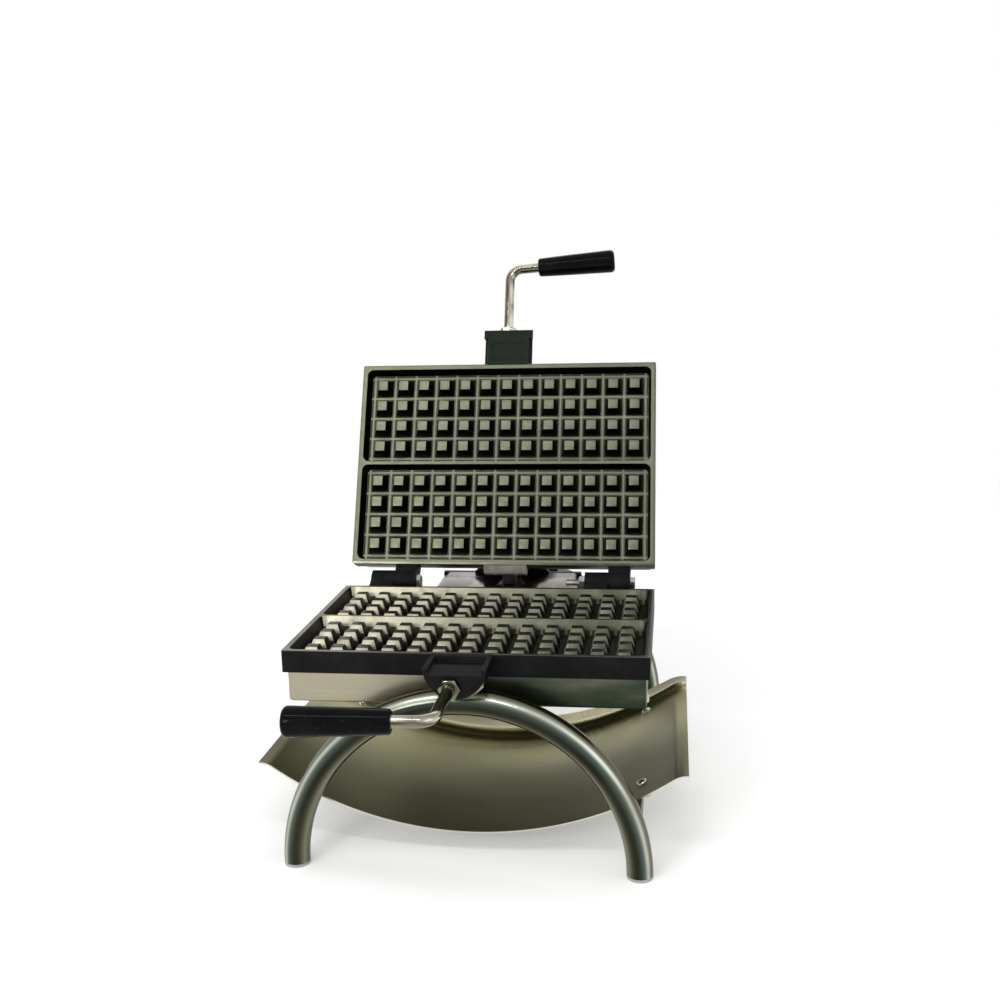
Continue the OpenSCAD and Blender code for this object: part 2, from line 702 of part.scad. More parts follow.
module drip_tray() color("darkkhaki") at_axis() difference() {
  union() {
    difference() {
      intersection() {
        translate([0, tray_y1, tray_cz]) rotate([90, 0, 0])
          rotate_extrude() translate([tray_r, 0]) polygon(tray_profile(lip_h + lip_bow + over));
        profile_y(tray_front - over, tray_y1 - tray_front + 2 * over) tray_wedge();
      }
      // the back edge's top is a flatter arc than the trough
      translate([0, 0, lip_mid_z + lip_top_r])
        along_y(tray_y1 - tray_t - eps, tray_t + over, lip_top_r);
    }
    for (x = [-tray_w / 2, tray_w / 2 - side_edge]) profile_x(x, side_edge)
      polygon([for (p = tray_profile(lip_h)) [tray_y1 - p[1], tray_edge_z - p[0]]]);
  }
  for (angle = [-1, 1] * bar_angle, y = tray_screw_ys) translate([0, y, 0]) on_tray(angle, tray_r + 4)
    cylinder(h = 8, d = tray_screw_d + 0.6);
}

// Bars that carry the trough, from the front arch to the trough's back edge. In front of the
// first screw only a tongue behind the arch tube is left.
module tray_bar(side) difference() {
  on_tray(-side * bar_angle, tray_r + tray_t + bar_t) translate([-bar_w / 2, arch_y, 0])
    cube([bar_w, bar_y1 - arch_y, bar_t - 0.15]);
  translate([0, arch_y, 0]) arch_outside(seat);
  translate([0, 0, arch_cz]) difference() {
    along_y(arch_y - over, bar_full_y - arch_y + over, arch_r + tube_d);
    along_y(arch_y - 2 * over, bar_full_y - arch_y + 3 * over, arch_r + tube_d / 2 - bar_tongue_in);
  }
  for (y = tray_screw_ys) translate([0, y, 0]) on_tray(-side * bar_angle, tray_r + tray_t + bar_t + over)
    cylinder(h = bar_t + 2 * over, d = tray_screw_d + 0.6);
}

module tray_bar_left() color("silver") at_axis() tray_bar(-1);
module tray_bar_right() color("silver") at_axis() tray_bar(1);

module tray_screws() color("lightgray") at_axis() for (angle = [-1, 1] * bar_angle, y = tray_screw_ys)
  translate([0, y, 0]) on_tray(angle, tray_r - 0.15) {
    cylinder(h = tray_head_h, d = tray_head_d);
    translate([0, 0, -tray_t - bar_t - tray_screw_tail])
      cylinder(h = tray_t + bar_t + tray_screw_tail + eps, d = tray_screw_d);
  }

module tray_nuts() color("lightgray") at_axis() for (angle = [-1, 1] * bar_angle, y = tray_screw_ys)
  translate([0, y, 0]) on_tray(angle, tray_r + tray_t + bar_t + tray_nut_h + 0.05) difference() {
    cylinder(h = tray_nut_h, r = tray_nut_af / sqrt(3), $fn = 6);
    translate([0, 0, -over]) cylinder(h = tray_nut_h + 2 * over, d = tray_screw_d + 2 * seat);
  }

// Casting behind the lower plate: front flange, two arms, and an end plate that rises to the axis
module trunnion_casting() color("#26282a") at_axis() difference() {
  bottom = housing_z0 + housing_t;
  foot_z = -housing_top - over;
  union() {
    translate([-housing_half, casting_y0 + seat, housing_z0])
      cube([2 * housing_half, bracket_t - seat, -housing_z0 - flange_drop]);
    translate([-housing_half, housing_y1, housing_z0]) cube([2 * housing_half, bracket_t, housing_h]);
    profile_y(housing_y1, bracket_t) {
      circle(bearing_r);
      polygon([[-bearing_half, foot_z], [-bearing_r, 0], [bearing_r, 0], [bearing_half, foot_z]]);
    }
    for (side = [-1, 1]) translate([side * arm_x - arm_t / 2, casting_y0 + over, bottom + 0.02])
      cube([arm_t, housing_l + bracket_t, housing_h - 14]);
  }
  along_y(housing_y1 - over, bracket_t + 2 * over, trunnion_d / 2 + seat);
  for (x = casting_screw_xs()) translate([x, 0, casting_screw_z])
    along_y(casting_y0 - over, 2 * bracket_t, knuckle_screw_d / 2 + seat);
  for (p = base_screws()) translate([p[0], p[1], bottom - over])
    cylinder(h = base_screw_l + over, d = base_screw_d + 2 * seat);
  // way through for the leads, from the housing into the lower cover
  for (x = [-1, 1] * lead_hole_x) translate([x, 0, -casting_z - lead_hole_drop])
    along_y(casting_y0 - over, bracket_t + 2 * over, lead_hole_r);
}

function base_screws() = [
  for (x = [-1, 1] * arm_x, y = [housing_y0 + base_screw_in, housing_y1 - base_screw_in]) [x, y]
];

module casting_screws() color("silver") at_axis()
  for (x = casting_screw_xs()) translate([x, 0, casting_screw_z]) {
  along_y(plate_d - knuckle_bite() + 0.5, knuckle_bite() + bracket_t, knuckle_screw_d / 2);
  difference() {
    along_y(casting_y0 + bracket_t + 0.05, knuckle_head_h, knuckle_head_d / 2);
    hex_y(casting_y0 + bracket_t + knuckle_head_h - socket_depth, knuckle_head_h, socket_af);
  }
}

module trunnion() color("silver") at_axis() difference() {
  union() {
    along_y(housing_y1, trunnion_y1 - housing_y1, trunnion_d / 2);
    along_y(bearing_y0 - side_gap - collar_l, collar_l, collar_r);
  }
  along_y(housing_y1 - over, trunnion_y1 - housing_y1 + 2 * over, trunnion_bore / 2);
}

module trunnion_collar() color("silver") at_axis() difference() {
  along_y(bearing_y1 + bush_flange + side_gap, collar_l, collar_r);
  along_y(bearing_y1, 2 * collar_l + bush_flange, trunnion_d / 2 + seat);
  // radial hole for the set screw
  translate([0, bearing_y1 + bush_flange + side_gap + collar_l / 2, trunnion_d / 2 - over])
    cylinder(h = collar_r, d = 3);
}

module cable_gland() color("#1c1c1c") at_axis() difference() {
  union() {
    along_y(trunnion_y1 - 12, 12 + eps, trunnion_bore / 2 - seat);
    hex_y(trunnion_y1, gland_hex, gland_af);
    translate([0, trunnion_y1 + gland_hex - eps, 0]) rotate([-90, 0, 0]) rotate_extrude() polygon([
      [0, 0], [gland_af / 2 - 1, 0], [gland_af / 2 - 1, gland_dome * 0.6],
      [cable_d / 2 + 2, gland_dome + eps], [0, gland_dome + eps]
    ]);
  }
  along_y(trunnion_y1 - 12 - over, 12 + gland_hex + gland_dome + 2 * over, cable_d / 2);
}

// Inverted channel of sheet between the casting's two plates
module housing_outline(inset) difference() {
  w = housing_half - inset;
  r = housing_r - inset;
  translate([-w, -housing_top - inset - housing_h * 2]) round_rect(2 * w, housing_h * 2, r);
  translate([-w - over, -housing_top - housing_h * 3]) square([2 * (w + over), housing_h * 2]);
}

module control_housing() color("tan") at_axis() difference() {
  profile_y(housing_y0 + 0.05, housing_l - 0.1) difference() {
    housing_outline(0);
    housing_outline(housing_t);
    translate([-housing_half - over, housing_z0 - over])
      square([2 * (housing_half + over), over + housing_t + 0.05]);
  }
  on_end(knob_y) along_x(-5, 10, shaft_d / 2 + 1);
  on_end(lamp_y) along_x(-5, 10, lamp_d / 2 - 2);
  on_end(switch_y) cube([10, switch_l - 3, switch_w - 3], center = true);
  translate([rest_x, rest_y, -housing_top - 4]) cylinder(h = 8, d = rest_stem_d + 0.4);
}

module housing_base() color("tan") at_axis() difference() {
  translate([-housing_half, housing_y0 + 0.05, housing_z0])
    cube([2 * housing_half, housing_l - 0.1, housing_t]);
  for (p = base_screws()) translate([p[0], p[1], housing_z0 - over])
    cylinder(h = housing_t + 2 * over, d = base_screw_d + 0.4);
}

module housing_screws() color("lightgray") at_axis()
  for (p = base_screws()) translate([p[0], p[1], housing_z0 - base_head_h]) {
    cylinder(h = base_head_h - seat, d = 2 * base_screw_d);
    cylinder(h = base_screw_l, d = base_screw_d);
  }

// Place on the housing's right-hand end face
module on_end(y) translate([housing_half, y, control_z]) children();

module thermostat() color("silver") at_axis() on_end(knob_y) {
  along_x(-housing_t - 26, 25.9, 15);
  along_x(-housing_t - over, 12, shaft_d / 2);
}

// Knob with a skirt and a grip bar, bored for the thermostat's shaft
module thermostat_knob() color("#15151a") at_axis() on_end(knob_y) translate([0.5, 0, 0]) difference() {
  union() {
    along_x(0, 4, knob_d / 2);
    intersection() {
      along_x(4 - eps, knob_h - 4, knob_d / 2 - 2);
      translate([0, -5, -knob_d / 2]) cube([knob_h, 10, knob_d]);
    }
  }
  along_x(-over, 11, shaft_d / 2 + run);
}

module switch_frame() color("#15151a") at_axis() on_end(switch_y) difference() {
  inner = [switch_l - 3.2, switch_w - 3.2];
  union() {
    translate([seat, -switch_l / 2, -switch_w / 2]) cube([2, switch_l, switch_w]);
    translate([-18, -inner[0] / 2, -inner[1] / 2]) cube([18 + over, inner[0], inner[1]]);
  }
  translate([-12, -rocker_l / 2 - 0.5, -rocker_w / 2 - 0.2]) cube([20, rocker_l + 1, rocker_w + 0.4]);
}

// Rocker, tipped to off; it turns about an upright line behind the housing's face
module switch_rocker() color("#b02020") at_axis() on_end(switch_y) translate([-4, 0, 0])
  rotate([0, 0, -rocker_tilt]) translate([0, 0, -rocker_w / 2]) linear_extrude(rocker_w) {
    l = rocker_l / 2 - 0.6;
    polygon([[-4, -6], [4, -l], [8.2, -l], [6.4, 0], [8.2, l], [4, l], [-4, 6]]);
  }

module pilot_lamp() color("orangered") at_axis() on_end(lamp_y) {
  body_r = lamp_d / 2 - 2.2;
  along_x(seat, 2, lamp_d / 2);
  along_x(-20, 22, body_r);
  translate([2, 0, 0]) intersection() {
    sphere(body_r);
    along_x(-eps, lamp_d, lamp_d / 2);
  }
}

module terminal_block() color("ivory") at_axis()
  translate([-terminal[0] / 2, (housing_y0 + housing_y1 - terminal[1]) / 2, housing_z0 + housing_t + seat])
    difference() {
      cube(terminal);
      for (i = [0 : 4]) translate([8 + i * 10, terminal[1] / 2, 6]) cylinder(h = terminal[2], d = 5);
    }

// Rubber rest under the open lid
module lid_rest() color("#101010") at_axis() translate([rest_x, rest_y, -housing_top]) {
  translate([0, 0, 0.02]) cylinder(h = housing_top + heel_z - side_gap, d = rest_d);
  translate([0, 0, -4]) cylinder(h = 5, d = rest_stem_d);
}

front_arch();
rear_arch();
foot_caps();
front_saddle();
bearing_block();
bearing_bush();
drip_tray();
tray_bar_left();
tray_bar_right();
tray_screws();
tray_nuts();
lower_plate();
lower_cover();
lower_cover_screws();
lower_element();
lower_clamps();
lower_insulation();
lower_handle_rod();
lower_handle_nut();
lower_grip();
hinge_block_left();
hinge_block_right();
hinge_block_screws();
hinge_bolt_left();
hinge_bolt_right();
hinge_nut();
trunnion_casting();
casting_screws();
trunnion();
trunnion_collar();
cable_gland();
control_housing();
housing_base();
housing_screws();
thermostat();
thermostat_knob();
switch_frame();
switch_rocker();
pilot_lamp();
terminal_block();
lid_rest();
upper_plate();
upper_cover();
upper_cover_screws();
upper_element();
upper_clamps();
upper_insulation();
upper_handle_rod();
upper_handle_nut();
upper_grip();
lid_bracket_left();
lid_bracket_right();
lid_bracket_screws();
lid_lead_lug();
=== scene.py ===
"""A counter waffle iron: two double plates that turn over together above a drip trough."""

import json
import math

import bmesh
import bpy
from mathutils import Matrix, Vector


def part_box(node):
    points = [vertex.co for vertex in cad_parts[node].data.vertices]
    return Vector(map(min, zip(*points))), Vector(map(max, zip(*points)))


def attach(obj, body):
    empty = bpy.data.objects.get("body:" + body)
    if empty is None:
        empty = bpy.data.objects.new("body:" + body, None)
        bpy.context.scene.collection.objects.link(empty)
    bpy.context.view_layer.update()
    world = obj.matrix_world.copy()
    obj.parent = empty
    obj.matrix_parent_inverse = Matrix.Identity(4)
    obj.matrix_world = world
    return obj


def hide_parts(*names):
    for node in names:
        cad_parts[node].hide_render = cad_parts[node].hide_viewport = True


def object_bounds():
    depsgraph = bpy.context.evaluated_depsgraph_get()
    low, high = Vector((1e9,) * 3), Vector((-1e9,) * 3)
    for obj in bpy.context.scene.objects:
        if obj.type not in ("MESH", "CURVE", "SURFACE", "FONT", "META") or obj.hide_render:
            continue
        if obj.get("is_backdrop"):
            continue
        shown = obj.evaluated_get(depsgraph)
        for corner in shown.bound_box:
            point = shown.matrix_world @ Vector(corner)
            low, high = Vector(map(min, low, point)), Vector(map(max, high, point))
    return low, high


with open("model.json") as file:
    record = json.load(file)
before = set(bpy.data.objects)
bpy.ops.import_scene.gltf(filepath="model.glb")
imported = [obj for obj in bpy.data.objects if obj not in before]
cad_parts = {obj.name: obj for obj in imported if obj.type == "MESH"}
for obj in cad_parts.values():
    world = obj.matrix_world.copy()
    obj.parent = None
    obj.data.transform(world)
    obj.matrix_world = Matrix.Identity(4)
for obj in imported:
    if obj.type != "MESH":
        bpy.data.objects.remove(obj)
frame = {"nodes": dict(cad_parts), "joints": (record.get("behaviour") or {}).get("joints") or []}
cad_low, cad_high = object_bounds()
scene = bpy.context.scene
scene.view_settings.view_transform = "Standard"
joints = {joint["name"]: joint for joint in frame["joints"]}
mm = 0.001


def in_scene(name, data):
    """A new object, linked to the scene."""
    obj = bpy.data.objects.new(name, data)
    scene.collection.objects.link(obj)
    return obj


# ---- Camera ---------------------------------------------------------------------------
# It stands in front of the iron, right of its middle, a little above the open lid's
# centre, and looks slightly down.
camera_data = bpy.data.cameras.new("camera")
camera_data.sensor_width = 36.0
camera_data.lens = 44.11
camera = in_scene("camera", camera_data)
camera.matrix_world = (
    Matrix.Translation((0.18663, -1.21295, 0.53971))
    @ Matrix.Rotation(math.radians(8.182), 4, "Z")
    @ Matrix.Rotation(math.radians(90 - 10.831), 4, "X")
    @ Matrix.Rotation(math.radians(-1.45), 4, "Z")
)
scene.camera = camera


# ---- Table and light ------------------------------------------------------------------
# A plain pale table that fades to white, four soft lamps, and an even white surround.
def feed(tree, socket, value):
    """An input takes a number, a colour or another node's output."""
    if isinstance(value, bpy.types.NodeSocket):
        tree.links.new(value, socket)
    else:
        socket.default_value = value


def put(tree, kind, settings=None, inputs=None):
    """Adds a node with its settings and inputs."""
    node = tree.nodes.new(kind)
    for name, value in (settings or {}).items():
        setattr(node, name, value)
    for key, value in (inputs or {}).items():
        feed(tree, node.inputs[key], value)
    return node


def arith(tree, operation, a, b):
    """A sum on two numbers or outputs."""
    return put(tree, "ShaderNodeMath", {"operation": operation}, {0: a, 1: b}).outputs[0]


def vector_arith(tree, operation, *parts):
    """A sum on vectors; a length or a dot product comes out as a number."""
    node = put(tree, "ShaderNodeVectorMath", {"operation": operation}, dict(enumerate(parts)))
    return node.outputs["Value" if operation in ("LENGTH", "DOT_PRODUCT") else "Vector"]


def soft_step(tree, value, low, high):
    """Nought below low and one above high, with a soft rise between them."""
    return put(tree, "ShaderNodeMapRange", {"interpolation_type": "SMOOTHSTEP"},
               {"Value": value, "From Min": low, "From Max": high}).outputs[0]


def on_piece(tree):
    """The place on the piece."""
    return put(tree, "ShaderNodeTexCoord").outputs["Object"]


def axes(tree, vector):
    """A vector's x, y and z."""
    return put(tree, "ShaderNodeSeparateXYZ", None, {0: vector}).outputs


def sees_background(tree):
    """One for camera, mirror and glass rays, nought for the light that falls on things."""
    path = put(tree, "ShaderNodeLightPath").outputs
    mirrored = arith(tree, "MAXIMUM", path["Is Glossy Ray"], path["Is Transmission Ray"])
    return arith(tree, "MAXIMUM", path["Is Camera Ray"], mirrored)


world = bpy.data.worlds.new("surround")
world.use_nodes = True
scene.world = world
sky = world.node_tree
sky.nodes.clear()
room_light = put(sky, "ShaderNodeBackground", None, {"Color": (1, 1, 1, 1), "Strength": 0.62})
room_seen = put(sky, "ShaderNodeBackground", None, {"Color": (1, 1, 1, 1), "Strength": 1.0})
room = put(sky, "ShaderNodeMixShader", None,
           {0: sees_background(sky), 1: room_light.outputs[0], 2: room_seen.outputs[0]})
put(sky, "ShaderNodeOutputWorld", None, {"Surface": room.outputs[0]})

table_finish = bpy.data.materials.new("table")
table_finish.use_nodes = True
top = table_finish.node_tree
top.nodes.clear()
near_r, far_r, glow_level, table_half = 0.75, 2.2, 0.3, 30.0
fade = soft_step(top, vector_arith(top, "LENGTH", on_piece(top)), near_r, far_r)
white = arith(top, "MULTIPLY", fade, sees_background(top))
matt = put(top, "ShaderNodeBsdfPrincipled", None, {"Base Color": (0.93, 0.93, 0.93, 1), "Roughness": 0.9})
plain = put(top, "ShaderNodeEmission", None, {"Color": (1, 1, 1, 1), "Strength": 1.0})
lift = arith(top, "MULTIPLY", sees_background(top), glow_level)
glow = put(top, "ShaderNodeEmission", None, {"Color": (1, 1, 1, 1), "Strength": lift})
near = put(top, "ShaderNodeAddShader", None, {0: matt.outputs[0], 1: glow.outputs[0]})
mix = put(top, "ShaderNodeMixShader", None, {0: white, 1: near.outputs[0], 2: plain.outputs[0]})
put(top, "ShaderNodeOutputMaterial", None, {"Surface": mix.outputs[0]})

table_mesh = bpy.data.meshes.new("table")
shape = bmesh.new()
bmesh.ops.create_grid(shape, x_segments=8, y_segments=8, size=table_half)
shape.to_mesh(table_mesh)
shape.free()
table = in_scene("table", table_mesh)
table_mesh.materials.append(table_finish)
table.location = (0, 0, cad_low.z - 0.5 * mm)
table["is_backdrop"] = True


def lamp(name, place, target, size, watts, colour=(1, 1, 1)):
    data = bpy.data.lights.new(name, "AREA")
    data.shape = "RECTANGLE"
    data.size, data.size_y = size
    data.energy = watts
    data.color = colour
    light = in_scene(name, data)
    aim = (Vector(target) - Vector(place)).to_track_quat("-Z", "Y")
    light.matrix_world = Matrix.Translation(place) @ aim.to_matrix().to_4x4()


lamp("key", (-0.75, -1.80, 0.85), (0, 0, 0.25), (0.6, 0.5), 10, (1.0, 0.98, 0.94))
lamp("fill", (1.7, -1.1, 0.9), (0, 0, 0.2), (1.2, 1.2), 3, (0.94, 1.0, 0.97))
lamp("back", (0.2, 1.6, 1.7), (0, 0, 0.3), (1.6, 0.6), 5)
lamp("strip", (-0.3, -1.1, 1.7), (0, 0, 0.2), (1.6, 0.035), 8)


# ---- Waffle plates --------------------------------------------------------------------
# Two iron castings, each with two cavities of 4 x 13 pyramids, of ground metal. Their faces are painted lit or
# in shade by their direction:
# the lid's rims, floors and tops lit, the lower plate's front-facing slopes lit, the other slopes in painted
# shade; the outside is black.
# The lid's plate is the same casting, turned over.
pitch, foot, crown, tooth_h = 24 * mm, 19.4 * mm, 10.6 * mm, 13 * mm
columns, rows = 13, 4
margin, depth, lean = 5.6 * mm, 14.8 * mm, 3.2 * mm
rim, ridge, casting_h, half_gap = 5 * mm, 3.4 * mm, 20.7 * mm, 0.2 * mm
floor_w = (columns - 1) * pitch + foot + 2 * margin
floor_d = (rows - 1) * pitch + foot + 2 * margin
mouth_w, mouth_d = floor_w + 2 * lean, floor_d + 2 * lean
plate_w, plate_d = mouth_w + 2 * rim, 2 * mouth_d + ridge + 2 * rim
casting_z = casting_h + half_gap
floor_z = -half_gap - depth

# Pieces are drawn round the swing axis at the plates' front edge, as parts of the lower
# half, and then placed in the lower half or, turned over and swung open, in the lid.
swing_at = Vector(joints["swing"]["pos_m"])
hinge_at = Vector(joints["lid_hinge"]["pos_m"])
open_angle = math.radians(joints["lid_hinge"]["range_deg"][1])
below = Matrix.Translation(swing_at)
above = (
    Matrix.Translation(hinge_at)
    @ Matrix.Rotation(-open_angle, 4, "X")
    @ Matrix.Translation(-hinge_at)
    @ Matrix.Translation(swing_at)
    @ Matrix.Rotation(math.pi, 4, "Y")
)
halves = (("lower", "iron", below), ("upper", "lid", above))


def shader(name):
    material = bpy.data.materials.new(name)
    material.use_nodes = True
    tree = material.node_tree
    tree.nodes.clear()
    surface = put(tree, "ShaderNodeBsdfPrincipled", {"name": "surface"})
    put(tree, "ShaderNodeOutputMaterial", None, {"Surface": surface.outputs[0]})
    return material, tree


def effect(name, inputs, outputs):
    """A node group for materials, with its inputs' names and starting values."""
    group = bpy.data.node_groups.new(name, "ShaderNodeTree")
    for label, start in inputs.items():
        kind = "NodeSocketVector" if isinstance(start, tuple) else "NodeSocketFloat"
        socket = group.interface.new_socket(label, in_out="INPUT", socket_type=kind)
        socket.default_value = start
    for label in outputs:
        group.interface.new_socket(label, in_out="OUTPUT", socket_type="NodeSocketFloat")
    return group, put(group, "NodeGroupInput").outputs, put(group, "NodeGroupOutput").inputs


def use(tree, group, **inputs):
    """The first output of a group placed in a material."""
    return put(tree, "ShaderNodeGroup", {"node_tree": group}, inputs).outputs[0]


def complete(material, colour, rough, metallic=0.0, relief=None, **others):
    """Gives a material its colour, its roughness, its small relief and other numbers."""
    tree = material.node_tree
    surface = tree.nodes["surface"].inputs
    feed(tree, surface["Base Color"], colour)
    feed(tree, surface["Roughness"], rough)
    surface["Metallic"].default_value = metallic
    if relief is not None:
        feed(tree, surface["Normal"], relief)
    for label, value in others.items():
        surface[label.replace("_", " ")].default_value = value
    return material


# soft patches, from nought to one
patches, given, result = effect(
    "patches", {"scale": 20.0, "stretch": (1.0, 1.0, 1.0), "low": 0.4, "high": 0.6, "detail": 3.0}, ["mask"])
noise = put(patches, "ShaderNodeTexNoise", None, {
    "Vector": vector_arith(patches, "MULTIPLY", on_piece(patches), given["stretch"]),
    "Scale": given["scale"], "Detail": given["detail"], "Roughness": 0.55})
patches.links.new(soft_step(patches, noise.outputs[0], given["low"], given["high"]), result["mask"])

# bright where an outer edge has rubbed
rubbed, given, result = effect("rubbed_edges", {"radius": 0.0008, "strength": 6.0, "scale": 300.0}, ["mask"])
rounded = put(rubbed, "ShaderNodeBevel", {"samples": 4}, {"Radius": given["radius"]})
facing = put(rubbed, "ShaderNodeNewGeometry").outputs["Normal"]
bent = arith(rubbed, "SUBTRACT", 1.0, vector_arith(rubbed, "DOT_PRODUCT", rounded.outputs[0], facing))
strong = arith(rubbed, "MULTIPLY", bent, given["strength"])
noise = put(rubbed, "ShaderNodeTexNoise", None,
            {"Vector": on_piece(rubbed), "Scale": given["scale"], "Detail": 2.0})
wear_and_painted_light = put(rubbed, "ShaderNodeMath", {"operation": "MULTIPLY", "use_clamp": True},
           {0: strong, 1: noise.outputs[0]})
rubbed.links.new(wear_and_painted_light.outputs[0], result["mask"])


def blend_colours(tree, factor, a, b):
    node = put(tree, "ShaderNodeMix", {"data_type": "RGBA"}, {"Factor": factor})
    for key, value in ((6, a), (7, b)):
        feed(tree, node.inputs[key], value if isinstance(value, bpy.types.NodeSocket) else (*value, 1))
    return node.outputs[2]


def between(tree, factor, low, high):
    node = put(tree, "ShaderNodeMapRange", None, {"Value": factor, "To Min": low, "To Max": high})
    return node.outputs[0]


def bump(tree, height, strength, distance):
    node = put(tree, "ShaderNodeBump", None, {"Height": height, "Strength": strength, "Distance": distance})
    return node.outputs[0]


def waffle_finish():
    """Ground metal with painted light and shade: lit faces, a painted bright line along the middle of each
    valley, and painted shade on the slopes and low in the valleys.
    """
    material, tree = shader("waffle_iron")
    cell = axes(tree, put(tree, "ShaderNodeAttribute", {"attribute_name": "cell"}).outputs["Vector"])
    # painted shade: low in each valley, by the pyramids' feet, the floor is darkened, all but a painted bright
    # line along its middle
    line_outer, line_inner, slope_foot = 1.7 * mm, 0.6 * mm, -10 * mm
    lines = []
    for axis, start in ((0, 0.0), (1, pitch / 2)):
        off = arith(tree, "PINGPONG", arith(tree, "ADD", cell[axis], start), pitch / 2)
        lines.append(soft_step(tree, off, pitch / 2 - line_outer, pitch / 2 - line_inner))
    above_floor = arith(tree, "GREATER_THAN", cell[2], slope_foot)
    outside_valley_shade = arith(tree, "MAXIMUM", above_floor, arith(tree, "MAXIMUM", *lines))
    # painted light: each face's lit share, chosen by its direction in the plates' geometry tree
    ground = put(tree, "ShaderNodeAttribute", {"attribute_name": "ground"}).outputs["Fac"]
    ground = arith(tree, "MULTIPLY", ground, between(tree, outside_valley_shade, 0.12, 1.0))
    # painted light: the lower plate is painted light on its left and dark on its right, as light falls on it
    # from the left; the lid's plate, the same metal, is painted a more even grey
    spot = axes(tree, on_piece(tree))
    right = soft_step(tree, spot[0], -0.19, 0.11)
    lid = arith(tree, "GREATER_THAN", spot[2], swing_at.z + 20 * mm)
    left_colour = blend_colours(tree, lid, (0.42, 0.40, 0.31), (0.19, 0.20, 0.135))
    right_colour = blend_colours(tree, lid, (0.060, 0.066, 0.045), (0.125, 0.14, 0.095))
    lit_colour = blend_colours(tree, right, left_colour, right_colour)
    cloud = use(tree, patches, scale=45.0, low=0.40, high=0.85)
    lit_colour = blend_colours(tree, cloud, lit_colour, (0.15, 0.145, 0.105))
    # painted shade: the slopes out of the light, in mottled near-black
    shade_mottle = use(tree, patches, scale=120.0, low=0.4, high=0.7)
    shaded_colour = blend_colours(tree, shade_mottle, (0.004, 0.003, 0.0025), (0.012, 0.009, 0.007))
    grit = use(tree, patches, scale=900.0, low=0.35, high=0.75)
    edge = use(tree, rubbed, radius=0.7 * mm, strength=5.0, scale=400.0)
    colour = blend_colours(tree, ground, shaded_colour, lit_colour)
    colour = blend_colours(tree, edge, colour, (0.20, 0.195, 0.15))
    return complete(material, colour, between(tree, grit, 0.30, 0.46), 0.9, bump(tree, grit, 0.25, 0.3 * mm))


def black_casting_finish():
    """Thin black paint on a sand-cast skin, greener towards the lid's front edge."""
    material, tree = shader("black_casting")
    cloud = use(tree, patches, scale=30.0, low=0.35, high=0.7)
    colour = blend_colours(tree, cloud, (0.004, 0.0035, 0.0045), (0.010, 0.010, 0.010))
    upper = soft_step(tree, axes(tree, on_piece(tree))[2], 0.36, 0.42)
    colour = blend_colours(tree, upper, colour, (0.013, 0.019, 0.013))
    edge = use(tree, rubbed, radius=0.9 * mm, strength=3.0, scale=250.0)
    colour = blend_colours(tree, edge, colour, (0.09, 0.092, 0.08))
    sand = use(tree, patches, scale=1100.0, low=0.3, high=0.75)
    return complete(material, colour, between(tree, cloud, 0.36, 0.52), 0.0, bump(tree, sand, 0.35, 0.3 * mm),
                    Specular_IOR_Level=0.07)


waffle_iron = waffle_finish()
black_casting = black_casting_finish()


def corner_loop(bm, x0, y0, x1, y1, radius, z, steps=6):
    """Vertices of a rectangle with rounded corners."""
    points = []
    for cx, cy, start in ((x1, y1, 0), (x0, y1, 90), (x0, y0, 180), (x1, y0, 270)):
        inx = -radius if cx == x1 else radius
        iny = -radius if cy == y1 else radius
        for i in range(steps + 1):
            a = math.radians(start + 90 * i / steps)
            points.append((cx + inx + radius * math.cos(a), cy + iny + radius * math.sin(a), z))
    return [bm.verts.new(p) for p in points]


def skin(bm, loops, closed_ends=True):
    """Quads between loops of equal length, with a face on each end."""
    for a, b in zip(loops, loops[1:]):
        for i in range(len(a)):
            j = (i + 1) % len(a)
            bm.faces.new((a[i], a[j], b[j], b[i]))
    if closed_ends:
        bm.faces.new(list(reversed(loops[0])))
        bm.faces.new(loops[-1])


def loop_edges(bm, loop):
    found = []
    for i, vert in enumerate(loop):
        following = loop[(i + 1) % len(loop)]
        found.append(bm.edges.get((vert, following)) or bm.edges.new((vert, following)))
    return found


def draft(name, bm):
    """An object from a bmesh, with its faces outwards."""
    bmesh.ops.remove_doubles(bm, verts=bm.verts, dist=1e-6)
    bmesh.ops.recalc_face_normals(bm, faces=bm.faces)
    mesh = bpy.data.meshes.new(name)
    bm.to_mesh(mesh)
    bm.free()
    return in_scene(name, mesh)


def soften(obj, width, segments=2, angle=30):
    edges = obj.modifiers.new("soft_edges", "BEVEL")
    edges.width = width
    edges.segments = segments
    edges.limit_method = "ANGLE"
    edges.angle_limit = math.radians(angle)
    edges.use_clamp_overlap = True
    edges.harden_normals = False
    return obj


def freeze(obj):
    """The object's mesh with its modifiers applied, in a plain object of the same name."""
    name = obj.name
    graph = bpy.context.evaluated_depsgraph_get()
    mesh = bpy.data.meshes.new_from_object(
        obj.evaluated_get(graph), preserve_all_data_layers=True, depsgraph=graph)
    data = obj.data
    bpy.data.objects.remove(obj)
    if isinstance(data, bpy.types.Mesh):
        bpy.data.meshes.remove(data)
    else:
        bpy.data.curves.remove(data)
    mesh.name = name
    return in_scene(name, mesh)


def settle(obj, place, body, finish, stands_for, smooth=35):
    """Puts a finished piece in its place, on its body, with its finish and its nodes."""
    obj = freeze(obj)
    obj.data.transform(place)
    if not obj.data.materials:
        obj.data.materials.append(finish)
    elif obj.data.materials[0] is None:
        obj.data.materials[0] = finish
    obj.data.shade_smooth()
    obj.data.set_sharp_from_angle(angle=math.radians(smooth))
    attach(obj, body)
    if stands_for:
        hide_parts(*stands_for)
    return obj


